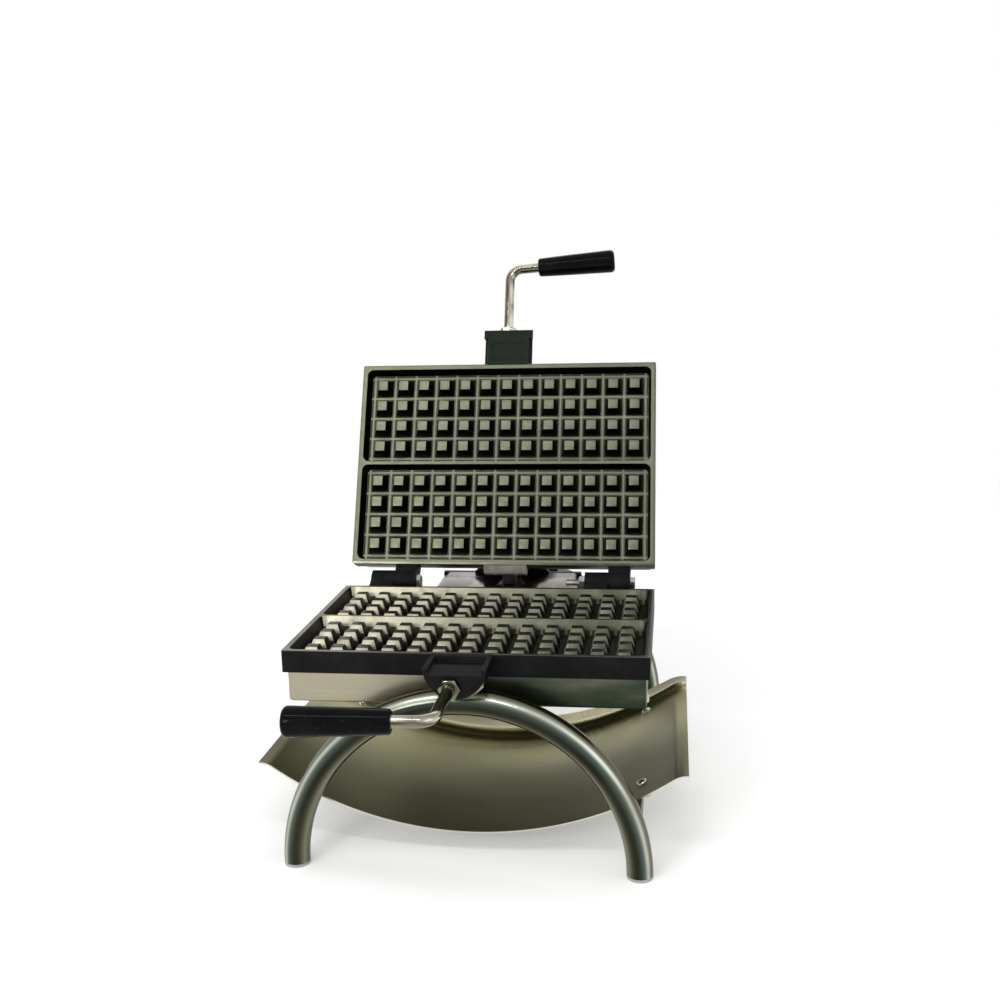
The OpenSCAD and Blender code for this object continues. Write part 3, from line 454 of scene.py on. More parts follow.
def geometry_tree(name, inputs):
    """An empty geometry tree with named inputs after its mesh."""
    tree = bpy.data.node_groups.new(name, "GeometryNodeTree")
    tree.interface.new_socket("Geometry", in_out="INPUT", socket_type="NodeSocketGeometry")
    kinds = {float: "Float", int: "Int", "object": "Object", "material": "Material"}
    for label, start in inputs.items():
        named = isinstance(start, str)
        kind = "NodeSocket" + kinds[start if named else type(start)]
        socket = tree.interface.new_socket(label, in_out="INPUT", socket_type=kind)
        if not named:
            socket.default_value = start
    tree.interface.new_socket("Geometry", in_out="OUTPUT", socket_type="NodeSocketGeometry")
    return tree, put(tree, "NodeGroupInput").outputs, put(tree, "NodeGroupOutput").inputs


def put_metal(tree, geometry, given, result):
    """Ends a geometry tree with its piece in the given material."""
    done = put(tree, "GeometryNodeSetMaterial", None, {"Geometry": geometry, "Material": given["metal"]})
    tree.links.new(done.outputs[0], result["Geometry"])


def grow(obj, tree, **inputs):
    """Runs a geometry tree on an object with the named inputs set."""
    modifier = obj.modifiers.new(tree.name, "NODES")
    modifier.node_group = tree
    names = {item.name: item.identifier for item in tree.interface.items_tree if item.in_out == "INPUT"}
    for label, value in inputs.items():
        modifier[names[label]] = value
    return obj


tooth_tree, given, result = geometry_tree("pyramid_rows", {
    "columns": columns, "rows": rows, "pitch": pitch, "foot": foot, "crown": crown, "height": tooth_h,
    "first row centre": 0.06, "second row centre": 0.17, "floor": floor_z, "divide": 0.1, "rim shine": 1.0,
    "flat shine": 1.0, "front shine": 0.0, "metal": "material"})

spans = []
for count in ("columns", "rows"):
    gaps = arith(tooth_tree, "SUBTRACT", given[count], 1.0)
    spans.append(arith(tooth_tree, "MULTIPLY", gaps, given["pitch"]))
grid = put(tooth_tree, "GeometryNodeMeshGrid", None, {
    "Size X": spans[0], "Size Y": spans[1], "Vertices X": given["columns"], "Vertices Y": given["rows"]})
both = put(tooth_tree, "GeometryNodeJoinGeometry")
for centre in ("first row centre", "second row centre"):
    middle = put(tooth_tree, "ShaderNodeCombineXYZ", None, {"Y": given[centre], "Z": given["floor"]})
    moved = put(tooth_tree, "GeometryNodeTransform", None,
                {"Geometry": grid.outputs[0], "Translation": middle.outputs[0]})
    tooth_tree.links.new(moved.outputs[0], both.inputs[0])
tooth = put(tooth_tree, "GeometryNodeMeshCone", None, {
    "Vertices": 4, "Radius Top": arith(tooth_tree, "MULTIPLY", given["crown"], math.sqrt(0.5)),
    "Radius Bottom": arith(tooth_tree, "MULTIPLY", given["foot"], math.sqrt(0.5)), "Depth": given["height"]})
standing = put(tooth_tree, "GeometryNodeInstanceOnPoints", None,
               {"Points": both.outputs[0], "Instance": tooth.outputs[0], "Rotation": (0, 0, math.pi / 4)})
teeth = put(tooth_tree, "GeometryNodeRealizeInstances", None, {"Geometry": standing.outputs[0]})
cast = put(tooth_tree, "GeometryNodeJoinGeometry")
tooth_tree.links.new(teeth.outputs[0], cast.inputs[0])
tooth_tree.links.new(given["Geometry"], cast.inputs[0])
up = axes(tooth_tree, put(tooth_tree, "GeometryNodeInputNormal").outputs[0])
spot = axes(tooth_tree, put(tooth_tree, "GeometryNodeInputPosition").outputs[0])
# painted light: a face's lit share comes from its direction, the flats at the rim's or the floor's level and
# the faces towards the front at the front level
flat = arith(tooth_tree, "GREATER_THAN", up["Z"], 0.9)
front = arith(tooth_tree, "LESS_THAN", up["Y"], -0.6)
at_rim = arith(tooth_tree, "GREATER_THAN", spot["Z"], -1 * mm)
level = between(tooth_tree, at_rim, given["flat shine"], given["rim shine"])
shine = arith(tooth_tree, "MULTIPLY", flat, level)
slopes = arith(tooth_tree, "MULTIPLY", front, given["front shine"])
marked = put(tooth_tree, "GeometryNodeStoreNamedAttribute", {"data_type": "FLOAT", "domain": "FACE"},
             {"Geometry": cast.outputs[0], "Name": "ground", "Value": arith(tooth_tree, "ADD", shine, slopes)})
# each point's place within its own waffle, counted from the middle between its rows
behind = arith(tooth_tree, "GREATER_THAN", spot["Y"], given["divide"])
row_middle = between(tooth_tree, behind, given["first row centre"], given["second row centre"])
cell = put(tooth_tree, "ShaderNodeCombineXYZ", None, {
    "X": spot["X"], "Y": arith(tooth_tree, "SUBTRACT", spot["Y"], row_middle), "Z": spot["Z"]})
marked = put(tooth_tree, "GeometryNodeStoreNamedAttribute", {"data_type": "FLOAT_VECTOR", "domain": "CORNER"},
             {"Geometry": marked.outputs[0], "Name": "cell", "Value": cell.outputs[0]})
put_metal(tooth_tree, marked.outputs[0], given, result)

outer_r, mouth_r, floor_r, paint_in = 1.5 * mm, 7 * mm, 4 * mm, 0.6 * mm
for half, body, place in halves:
    bm = bmesh.new()
    low = corner_loop(bm, -plate_w / 2, 0, plate_w / 2, plate_d, outer_r, -casting_z)
    high = corner_loop(bm, -plate_w / 2, 0, plate_w / 2, plate_d, outer_r, -half_gap)
    skin(bm, [low, high], closed_ends=False)
    bm.faces.new(list(reversed(low)))
    face_edges = loop_edges(bm, high)
    centres = []
    for i in (0, 1):
        y = rim + i * (mouth_d + ridge)
        centres.append(y + mouth_d / 2)
        mouth = corner_loop(bm, -mouth_w / 2, y, mouth_w / 2, y + mouth_d, mouth_r, -half_gap)
        base = corner_loop(bm, -floor_w / 2, y + lean, floor_w / 2, y + mouth_d - lean, floor_r, floor_z)
        skin(bm, [mouth, base], closed_ends=False)
        bm.faces.new(base)
        face_edges += loop_edges(bm, mouth)
    bmesh.ops.triangle_fill(bm, edges=face_edges, use_beauty=True)
    plate = draft(half + "_waffle_plate", bm)
    # painted light: how lit each plate's rims, flats and front-facing faces are painted
    wear_and_painted_light = (0.75, 0.85, 0.05) if half == "upper" else (0.45, 0.04, 1.0)
    grow(plate, tooth_tree, **{
        "first row centre": centres[0], "second row centre": centres[1], "metal": waffle_iron,
        "divide": rim + mouth_d + ridge / 2,
        "rim shine": wear_and_painted_light[0], "flat shine": wear_and_painted_light[1], "front shine": wear_and_painted_light[2]})
    soften(plate, 0.5 * mm, 2, 40)
    plate = settle(plate, Matrix.Identity(4), body, waffle_iron, [half + "_plate"])
    painted = len(plate.data.materials)
    plate.data.materials.append(black_casting)
    for face in plate.data.polygons:
        at_side = abs(face.center.x) > plate_w / 2 - paint_in
        at_end = not paint_in < face.center.y < plate_d - paint_in
        if (at_side or at_end) and face.normal.z < 0.5 or face.center.z < -casting_z + paint_in:
            face.material_index = painted
    plate.data.transform(place)


# ---- Journals -------------------------------------------------------------------------
# Half-round noses cast on the plates' front edges. Shut, the two make the round journal
# that turns in the front bearing. The lower one has a channel between two ribs, the
# upper one has two ears and a bare sunk panel.
journal_r, journal_l, rib_w, channel_depth = 28 * mm, 41 * mm, 4.5 * mm, 6 * mm
ear_l, ear_out, root, channel_stop = 10 * mm, 5 * mm, 1.5 * mm, 5 * mm
panel_half, panel_front, panel_back, panel_deep = 19.5 * mm, 26 * mm, 4 * mm, 1.6 * mm


def box_piece(name, low, high):
    bm = bmesh.new()
    bmesh.ops.create_cube(bm, size=1.0)
    for vert in bm.verts:
        for axis in range(3):
            vert.co[axis] = low[axis] if vert.co[axis] < 0 else high[axis]
    return draft(name, bm)


def ring(bm, radius, z, place=Matrix.Identity(4), steps=60):
    """A level ring of vertices; the radius is a number or a function of the angle."""
    verts = []
    for i in range(steps):
        a = 2 * math.pi * i / steps
        r = radius(a) if callable(radius) else radius
        height = z(r) if callable(z) else z
        verts.append(bm.verts.new(place @ Vector((r * math.cos(a), r * math.sin(a), height))))
    return verts


def turned_piece(name, outline, place=Matrix.Identity(4), steps=64):
    """A closed turned shape from (radius, height) pairs, bottom to top, along Z."""
    bm = bmesh.new()
    rings = []
    for radius, height in outline:
        if radius > 0:
            rings.append(ring(bm, radius, height, place, steps))
        else:
            rings.append([bm.verts.new(place @ Vector((0, 0, height)))])
    for a, b in zip(rings, rings[1:]):
        for i in range(steps):
            j = (i + 1) % steps
            if len(a) == 1 and len(b) == 1:
                break
            if len(a) == 1:
                bm.faces.new((a[0], b[j], b[i]))
            elif len(b) == 1:
                bm.faces.new((a[i], a[j], b[0]))
            else:
                bm.faces.new((a[i], a[j], b[j], b[i]))
    if len(rings[0]) > 1:
        bm.faces.new(list(reversed(rings[0])))
    if len(rings[-1]) > 1:
        bm.faces.new(rings[-1])
    return draft(name, bm)


def carve(obj, *cutters):
    """Cuts the other pieces out of a piece."""
    for cutter in cutters:
        cut = obj.modifiers.new("cut", "BOOLEAN")
        cut.operation = "DIFFERENCE"
        cut.solver = "EXACT"
        cut.object = cutter
    obj = freeze(obj)
    for cutter in cutters:
        bpy.data.objects.remove(cutter)
    return obj


along_y = Matrix.Rotation(math.radians(-90), 4, "X")
far = 1.0
for half, body, place in halves:
    nose = turned_piece("nose", [(journal_r, -journal_l), (journal_r, root)], along_y, 96)
    tools = [box_piece("top_half", (-far, -far, -half_gap), (far, far, far))]
    if half == "lower":
        inner = journal_r - rib_w
        deep = half_gap + channel_depth
        tools.append(box_piece("channel", (-inner, -far, -deep), (inner, -channel_stop, far)))
    else:
        for side in (-1, 1):
            x = sorted((side * (journal_r - rib_w), side * (journal_r + ear_out)))
            tools.append(box_piece("notch", (x[0], -journal_l + ear_l, -channel_depth), (x[1], 0, far)))
        tools.append(box_piece("panel", (-panel_half, -panel_front, -half_gap - panel_deep),
                               (panel_half, -panel_back, far)))
    nose = soften(carve(nose, *tools), 0.6 * mm, 2, 35)
    nose.name = half + "_journal"
    settle(nose, place, body, black_casting, [half + "_plate"])


# ---- Covers ---------------------------------------------------------------------------
# Folded and welded boxes of brushed stainless sheet over the plates' backs. Each is held
# by two dome-headed screws on either side.
cover_in, cover_h, sheet_t, cover_r = 3.6 * mm, 28.6 * mm, 1.2 * mm, 4 * mm
cover_z = casting_z + cover_h
cover_half = plate_w / 2 - cover_in
fold_r, tuck = 2 * mm, 0.1 * mm

# fine lines left by the brushing belt, as a height
brushing, given, result = effect("brushing", {"along": (1.0, 1.0, 1.0), "fineness": 1.0}, ["height"])
lines = put(brushing, "ShaderNodeTexNoise", None, {
    "Vector": vector_arith(brushing, "MULTIPLY", on_piece(brushing), given["along"]),
    "Scale": given["fineness"], "Detail": 4.0, "Roughness": 0.7})
brushing.links.new(lines.outputs[0], result["height"])


def cover_finish():
    material, tree = shader("cover_steel")
    lines = use(tree, brushing, along=(8.0, 900.0, 900.0), fineness=1.0)
    # painted reflection and shade: the steel runs from a warm light tone on the left to a dark green on the
    # right
    right = soft_step(tree, axes(tree, on_piece(tree))[0], -0.11, 0.06)
    colour = blend_colours(tree, right, (0.345, 0.318, 0.235), (0.022, 0.033, 0.020))
    smear = use(tree, patches, scale=9.0, stretch=(1.0, 1.0, 3.0), low=0.40, high=0.85)
    colour = blend_colours(tree, smear, colour, (0.12, 0.125, 0.095))
    streak = use(tree, patches, scale=1.0, stretch=(14.0, 500.0, 500.0), low=0.3, high=0.8)
    light = put(tree, "ShaderNodeHueSaturation", None,
                {"Value": between(tree, streak, 0.95, 1.05), "Color": colour})
    rough = between(tree, lines, 0.24, 0.42)
    return complete(material, light.outputs[0], rough, 1.0, bump(tree, lines, 0.18, 0.2 * mm))


cover_steel = cover_finish()
for half, body, place in halves:
    bm = bmesh.new()
    profile = [(0, -casting_z - tuck)]
    for i in range(5):
        a = math.radians(90 * i / 4)
        profile.append((fold_r * (1 - math.cos(a)), -cover_z + fold_r * (1 - math.sin(a))))
    inside = [(sheet_t + max(0, inset - sheet_t), max(z, -cover_z + sheet_t)) for inset, z in reversed(profile)]
    loops = []
    for inset, z in profile + inside:
        loops.append(corner_loop(bm, -cover_half + inset, cover_in + inset, cover_half - inset,
                                 plate_d - cover_in - inset, cover_r - min(inset, 2.5 * mm), z))
    middle = len(profile)
    skin(bm, loops[:middle], closed_ends=False)
    bm.faces.new(loops[middle - 1])
    skin(bm, loops[middle:], closed_ends=False)
    bm.faces.new(list(reversed(loops[middle])))
    skin(bm, [loops[-1], loops[0]], closed_ends=False)
    cover = draft(half + "_steel_cover", bm)
    settle(cover, place, body, cover_steel, [half + "_cover"])


# ---- Screws of the covers -------------------------------------------------------------
# Zinc-plated dome heads with a cross slot, each on a thin washer.
def zinc_finish():
    material, tree = shader("zinc")
    cloud = use(tree, patches, scale=160.0, low=0.3, high=0.75)
    edge = use(tree, rubbed, radius=0.5 * mm, strength=4.0, scale=500.0)
    colour = blend_colours(tree, cloud, (0.50, 0.50, 0.45), (0.36, 0.37, 0.33))
    colour = blend_colours(tree, edge, colour, (0.66, 0.66, 0.62))
    return complete(material, colour, between(tree, cloud, 0.20, 0.38), 1.0)


zinc = zinc_finish()
stud_tree, given, result = geometry_tree(
    "set_out_pieces", {"piece": "object", "metal": "material", "turn": 0.0})
single = put(stud_tree, "GeometryNodeObjectInfo", None, {"Object": given["piece"]})
toward = put(stud_tree, "GeometryNodeInputNamedAttribute", {"data_type": "FLOAT_VECTOR"}, {"Name": "facing"})
spun = put(stud_tree, "ShaderNodeCombineXYZ", None, {"Z": given["turn"]})
lined = put(stud_tree, "FunctionNodeAlignRotationToVector", {"axis": "Z"}, {"Vector": toward.outputs[0]})
put_out = put(stud_tree, "GeometryNodeInstanceOnPoints", None, {
    "Points": given["Geometry"], "Instance": single.outputs["Geometry"], "Rotation": lined.outputs[0]})
turned = put(stud_tree, "GeometryNodeRotateInstances", None,
             {"Instances": put_out.outputs[0], "Rotation": spun.outputs[0]})
real = put(stud_tree, "GeometryNodeRealizeInstances", None, {"Geometry": turned.outputs[0]})
put_metal(stud_tree, real.outputs[0], given, result)


def set_out(name, piece, places, metal, turn=0.0):
    """Copies of a piece on the given (point, direction) places; the piece itself goes."""
    mesh = bpy.data.meshes.new(name)
    mesh.from_pydata([tuple(point) for point, _ in places], [], [])
    facing = mesh.attributes.new("facing", "FLOAT_VECTOR", "POINT")
    for i, (_, direction) in enumerate(places):
        facing.data[i].vector = direction
    obj = in_scene(name, mesh)
    obj = freeze(grow(obj, stud_tree, piece=piece, metal=metal, turn=turn))
    bpy.data.objects.remove(piece)
    return obj


def dome_screw(radius, height, shank=8 * mm):
    """A screw on Z with a thin washer, a domed head and a cross slot."""
    washer, slot_half = 0.2 * mm, 0.45 * mm
    shank_r = radius * 0.55
    outline = [(shank_r, -shank), (shank_r, -washer), (radius, -washer), (radius, 0.25 * mm)]
    for i in range(1, 8):
        a = math.radians(90 * i / 7)
        outline.append((radius * 0.97 * math.cos(a), 0.3 * mm + (height - 0.3 * mm) * math.sin(a)))
    outline[-1] = (0, height)
    slots = []
    for x, y in ((shank_r, slot_half), (slot_half, shank_r)):
        slots.append(box_piece("slot", (-x, -y, height * 0.45), (x, y, height * 2)))
    return carve(turned_piece("head", outline, steps=32), *slots)


cover_screw_r, cover_screw_h, screw_in, screw_up = 4.5 * mm, 2.2 * mm, 14 * mm, 7 * mm
for half, body, place in halves:
    spots = []
    for side in (-1, 1):
        for y in (screw_in, plate_d - screw_in):
            spots.append(((side * cover_half, y, -cover_z + screw_up), (side, 0, 0)))
    screws = set_out(half + "_cover_domes", dome_screw(cover_screw_r, cover_screw_h), spots, zinc, 0.6)
    settle(screws, place, body, zinc, [half + "_cover_screws"])


# ---- Handles --------------------------------------------------------------------------
# Chromed rods, bent a little short of square, screwed into the journals' faces and
# locked with a nut. Each carries a tapered grip of black phenolic resin.
handle_reach, bend_r, bend = 82 * mm, 15 * mm, math.radians(86)
handle_x, lid_handle_x, handle_z, rod_d = 3.5 * mm, 2.5 * mm, 17 * mm, 11 * mm
grip_gap, grip_l, grip_r0, grip_r1 = 19 * mm, 89 * mm, 10.5 * mm, 13 * mm
bend_y = -(journal_l + handle_reach - bend_r)
nut_af, nut_h = 17 * mm, 8 * mm


def bands(tree, factor, stops):
    """Bands of colour, each (place, colour), with soft steps between them."""
    ramp = put(tree, "ShaderNodeValToRGB", None, {"Fac": factor})
    strip = ramp.color_ramp
    strip.interpolation = "B_SPLINE"
    while len(strip.elements) < len(stops):
        strip.elements.new(0.5)
    for element, (place, colour) in zip(strip.elements, stops):
        element.position = place
        element.color = (*colour, 1)
    return ramp.outputs[0]


def chrome_finish():
    material, tree = shader("chrome")
    haze = use(tree, patches, scale=60.0, low=0.35, high=0.8)
    # painted reflection: a light ceiling, dark walls and a pale table, painted in bands by the surface's
    # direction
    facing = put(tree, "ShaderNodeNewGeometry").outputs["Normal"]
    upwards = vector_arith(tree, "DOT_PRODUCT", facing, (0.5, 0.15, 0.85))
    height = put(tree, "ShaderNodeMapRange", None, {"Value": upwards, "From Min": -1.0, "From Max": 1.0})
    room = bands(tree, height.outputs[0], (
        (0.0, (0.10, 0.09, 0.05)), (0.25, (0.30, 0.28, 0.19)), (0.38, (0.16, 0.14, 0.09)),
        (0.47, (0.03, 0.028, 0.018)), (0.56, (0.05, 0.048, 0.03)), (0.66, (0.62, 0.60, 0.50)),
        (0.76, (0.80, 0.78, 0.70)), (0.88, (0.26, 0.25, 0.17)), (1.0, (0.20, 0.19, 0.13))))
    colour = blend_colours(tree, haze, room, (0.16, 0.15, 0.11))
    # painted reflection: lighter where the rod is seen edge-on
    edge_on = put(tree, "ShaderNodeLayerWeight", None, {"Blend": 0.2}).outputs["Facing"]
    colour = blend_colours(tree, edge_on, colour, (0.40, 0.385, 0.30))
    return complete(material, colour, between(tree, haze, 0.06, 0.16), 1.0)


def bakelite_finish():
    material, tree = shader("bakelite")
    cloud = use(tree, patches, scale=35.0, low=0.3, high=0.8)
    colour = blend_colours(tree, cloud, (0.002, 0.002, 0.0025), (0.006, 0.0055, 0.0055))
    scuff = use(tree, patches, scale=1.0, stretch=(120.0, 700.0, 700.0), low=0.62, high=0.8)
    colour = blend_colours(tree, scuff, colour, (0.03, 0.03, 0.032))
    return complete(material, colour, between(tree, scuff, 0.06, 0.20), Specular_IOR_Level=0.05)


chrome = chrome_finish()
bakelite = bakelite_finish()

tube_tree, given, result = geometry_tree("tube_on_path", {"radius": 0.005, "sides": 48, "metal": "material"})
circle = put(tube_tree, "GeometryNodeCurvePrimitiveCircle", None,
             {"Resolution": given["sides"], "Radius": given["radius"]})
run = put(tube_tree, "GeometryNodeSplineParameter")
marked = put(tube_tree, "GeometryNodeStoreNamedAttribute", {"data_type": "FLOAT", "domain": "POINT"},
             {"Geometry": given["Geometry"], "Name": "along", "Value": run.outputs["Length"]})
swept = put(tube_tree, "GeometryNodeCurveToMesh", None,
            {"Curve": marked.outputs[0], "Profile Curve": circle.outputs[0], "Fill Caps": True})
solid = put(tube_tree, "GeometryNodeRealizeInstances", None, {"Geometry": swept.outputs[0]})
put_metal(tube_tree, solid.outputs[0], given, result)


def tube(name, points, radius, metal, sides=48):
    """A round bar or tube along the points."""
    curve = bpy.data.curves.new(name, "CURVE")
    curve.dimensions = "3D"
    line = curve.splines.new("POLY")
    line.points.add(len(points) - 1)
    for vertex, point in zip(line.points, points):
        vertex.co = (*point, 1)
    obj = in_scene(name, curve)
    return freeze(grow(obj, tube_tree, radius=radius, sides=sides, metal=metal))


def hexagon(name, flats, height, bore, place=Matrix.Identity(4)):
    """A nut or bolt head on Z with both rims chamfered at thirty degrees."""
    bm = bmesh.new()
    inner_r, bore_edge = flats / 2 * 0.95, 0.5 * mm

    def corner(a):
        return flats / 2 / math.cos((a % (math.pi / 3)) - math.pi / 6)

    def drop(r):
        return (r - inner_r) * math.tan(math.radians(30))

    loops = [ring(bm, inner_r, 0, place), ring(bm, corner, drop, place),
             ring(bm, corner, lambda r: height - drop(r), place), ring(bm, inner_r, height, place)]
    if bore:
        for r, z in ((bore + bore_edge, height), (bore, height - bore_edge), (bore, bore_edge),
                     (bore + bore_edge, 0)):
            loops.append(ring(bm, r, z, place))
        skin(bm, loops + [loops[0]], closed_ends=False)
    else:
        skin(bm, loops)
    return draft(name, bm)


past_bend = (
    Matrix.Translation((-bend_r, bend_y, 0))
    @ Matrix.Rotation(-bend, 4, "Z")
    @ Matrix.Translation((bend_r, 0, 0))
)
rod_in, rod_in_grip = 14 * mm, 12 * mm
grip_end_r, grip_top = 5 * mm, 2 * mm
for (half, body, place), rod_x in zip(halves, (-handle_x, lid_handle_x)):
    place = place @ Matrix.Translation((rod_x, 0, -handle_z))
    path = [(0, -journal_l + rod_in, 0), (0, bend_y * 0.5 - 20 * mm, 0)]
    for i in range(25):
        a = bend * i / 24
        path.append((-bend_r * (1 - math.cos(a)), bend_y - bend_r * math.sin(a), 0))
    path.append(tuple(past_bend @ Vector((0, -(grip_gap + grip_l - rod_in_grip), 0))))
    rod = tube(half + "_bent_rod", path, rod_d / 2, chrome)
    settle(rod, place, body, chrome, [half + "_handle_rod"])

    nut_place = Matrix.Translation((0, -journal_l, 0)) @ Matrix.Rotation(math.radians(90), 4, "X")
    nut = hexagon(half + "_lock_nut", nut_af, nut_h, rod_d / 2, nut_place)
    settle(nut, place, body, chrome, [half + "_handle_nut"])

    outline = [(0, 0.2 * mm), (rod_d / 2, 0.2 * mm), (grip_r0 - 3 * mm, 0), (grip_r0 - 1.2 * mm, 0.5 * mm),
               (grip_r0, grip_top)]
    for i in range(1, 12):
        t = i / 12
        swell = 0.35 * mm * math.sin(math.pi * t)
        outline.append((grip_r0 + (grip_r1 - grip_r0) * t + swell * (1 - t),
                        grip_top + (grip_l - grip_top - grip_end_r) * t))
    for i in range(9):
        a = math.radians(90 * i / 8)
        outline.append((grip_r1 - grip_end_r * (1 - math.cos(a)), grip_l - grip_end_r * (1 - math.sin(a))))
    outline += [(grip_r1 - 6 * mm, grip_l - 0.15 * mm), (0, grip_l - 0.4 * mm)]
    grip_place = past_bend @ Matrix.Translation((0, -grip_gap, 0)) @ Matrix.Rotation(math.radians(90), 4, "X")
    grip = turned_piece(half + "_tapered_grip", outline, grip_place, 72)
    settle(grip, place, body, bakelite, [half + "_grip"])


# ---- Arches ---------------------------------------------------------------------------
# Two half rings of satin-polished stainless tube, standing on their capped ends. The
# front one's crown is cut away for the bearing liner under the journals.
tube_r, arch_r, arch_gap, foot_h = 12 * mm, 158 * mm, 3 * mm, 3 * mm
arch_z = foot_h - swing_at.z
arch_y = -(arch_gap + tube_r)
rear_low, rear_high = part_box("rear_arch")
rear_y = (rear_low.y + rear_high.y) / 2 - swing_at.y
liner_outer = journal_r + 3.32 * mm
seat_front, seat_back = 0.1, 0.05


def arch_finish():
    material, tree = shader("arch_tube")
    along = put(tree, "ShaderNodeAttribute", {"attribute_name": "along"}).outputs["Fac"]
    rings = put(tree, "ShaderNodeCombineXYZ", None, {"X": along})
    lines = put(tree, "ShaderNodeTexNoise", None,
                {"Vector": rings.outputs[0], "Scale": 900.0, "Detail": 3.0, "Roughness": 0.7}).outputs[0]
    cloud = use(tree, patches, scale=14.0, low=0.3, high=0.75)
    # painted reflection and highlight: across the tube, from the inside of the arch to its outside, dark and
    # light bands and a bright highlight line
    from_middle = vector_arith(tree, "SUBTRACT", on_piece(tree), tuple(below @ Vector((0, 0, arch_z))))
    reach = vector_arith(tree, "LENGTH", vector_arith(tree, "MULTIPLY", from_middle, (1.0, 0.0, 1.0)))
    across = put(tree, "ShaderNodeMapRange", None,
                 {"Value": reach, "From Min": arch_r - tube_r, "From Max": arch_r + tube_r})
    painted_bands = bands(tree, across.outputs[0], (
        (0.0, (0.03, 0.028, 0.015)), (0.10, (0.30, 0.31, 0.22)), (0.20, (0.10, 0.10, 0.06)),
        (0.34, (0.018, 0.017, 0.012)), (0.50, (0.012, 0.013, 0.010)), (0.62, (0.05, 0.065, 0.05)),
        (0.74, (0.10, 0.125, 0.095)), (0.83, (0.72, 0.74, 0.66)), (0.90, (0.16, 0.16, 0.10)),
        (1.0, (0.06, 0.06, 0.035))))
    colour = blend_colours(tree, cloud, painted_bands, (0.07, 0.073, 0.052))
    colour = blend_colours(tree, 0.3, painted_bands, colour)
    rough = between(tree, lines, 0.16, 0.30)
    return complete(material, colour, rough, 1.0, bump(tree, lines, 0.10, 0.2 * mm))


arch_tube = arch_finish()
for end, y in (("front", arch_y), ("rear", rear_y)):
    path = []
    for i in range(129):
        a = math.pi * i / 128
        path.append((arch_r * math.cos(a), y, arch_z + arch_r * math.sin(a)))
    arch = tube(end + "_arch_tube", path, tube_r, arch_tube, 64)
    if end == "front":
        seat = turned_piece("seat", [(liner_outer, -seat_front), (liner_outer, seat_back)], along_y, 128)
        arch = carve(arch, seat)
    settle(arch, below, "stand", arch_tube, [end + "_arch"], 40)


# ---- Foot caps ------------------------------------------------------------------------
# Pale grey moulded plugs pushed into the tube ends; the machine stands on their discs.
def cap_finish():
    material, tree = shader("foot_plastic")
    cloud = use(tree, patches, scale=90.0, low=0.3, high=0.75)
    colour = blend_colours(tree, cloud, (0.46, 0.47, 0.45), (0.36, 0.37, 0.35))
    grain = use(tree, patches, scale=1500.0, low=0.3, high=0.7)
    return complete(material, colour, 0.6, 0.0, bump(tree, grain, 0.2, 0.1 * mm))


foot_plastic = cap_finish()
plug_r, plug_h = tube_r - 2 * mm, 6 * mm
cap = turned_piece("cap", [
    (0, 0), (tube_r - 1.2 * mm, 0), (tube_r - 0.3 * mm, 0.4 * mm), (tube_r, 1.2 * mm), (tube_r, foot_h),
    (plug_r, foot_h), (plug_r - 0.3 * mm, foot_h + plug_h), (0, foot_h + plug_h)], steps=48)
spots = [((x, y, -swing_at.z), (0, 0, 1)) for x in (-arch_r, arch_r) for y in (arch_y, rear_y)]
caps = set_out("foot_plugs", cap, spots, foot_plastic)
settle(caps, below, "stand", foot_plastic, ["foot_caps"])


# ---- Drip trough ----------------------------------------------------------------------
# One polished stainless sheet, rolled to a wide curve, with flat side edges and a turned-up
# back edge. It catches batter when the iron is turned over.
tray_w, tray_r, tray_t, side_edge = 403 * mm, 333 * mm, 1.5 * mm, 8 * mm
ramp_l, ramp_h, lip_h, flare_r, lip_bow = 14 * mm, 6 * mm, 6 * mm, 22 * mm, 9 * mm
tray_low, tray_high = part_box("drip_tray")
tray_y0, tray_y1 = tray_low.y - swing_at.y, tray_high.y - swing_at.y
tray_bottom = tray_low.z - swing_at.z


def trough_finish():
    material, tree = shader("trough_steel")
    place = axes(tree, on_piece(tree))
    # painted reflection: lighter towards the right and on the raised back
    right = soft_step(tree, place[0], -0.2, 0.1)
    behind = soft_step(tree, place[1], tray_low.y + 50 * mm, tray_high.y)
    sweep = use(tree, patches, scale=3.2, stretch=(1.0, 1.6, 1.0), low=0.3, high=0.72)
    colour = blend_colours(tree, sweep, (0.125, 0.110, 0.026), (0.072, 0.070, 0.016))
    colour = blend_colours(tree, right, (0.065, 0.064, 0.022), colour)
    colour = blend_colours(tree, behind, colour, (0.36, 0.35, 0.18))
    haze = use(tree, patches, scale=9.0, low=0.45, high=0.85, detail=1.0)
    colour = blend_colours(tree, haze, colour, (0.145, 0.122, 0.036))
    faces = axes(tree, put(tree, "ShaderNodeNewGeometry").outputs["True Normal"])
    # painted highlight: the sheet's cut edge that faces the front
    cut_edge = arith(tree, "LESS_THAN", faces[1], -0.95)
    colour = blend_colours(tree, cut_edge, colour, (0.60, 0.58, 0.50))
    dent = put(tree, "ShaderNodeTexNoise", None, {"Vector": on_piece(tree), "Scale": 7.0, "Detail": 1.0})
    rough = between(tree, haze, 0.27, 0.38)
    return complete(material, colour, rough, 1.0, bump(tree, dent.outputs[0], 0.35, 4 * mm))


trough_steel = trough_finish()
tray_cz = tray_bottom + tray_t + tray_r
edge_x = tray_w / 2 - side_edge
edge_z = tray_cz - math.sqrt(tray_r ** 2 - edge_x ** 2)
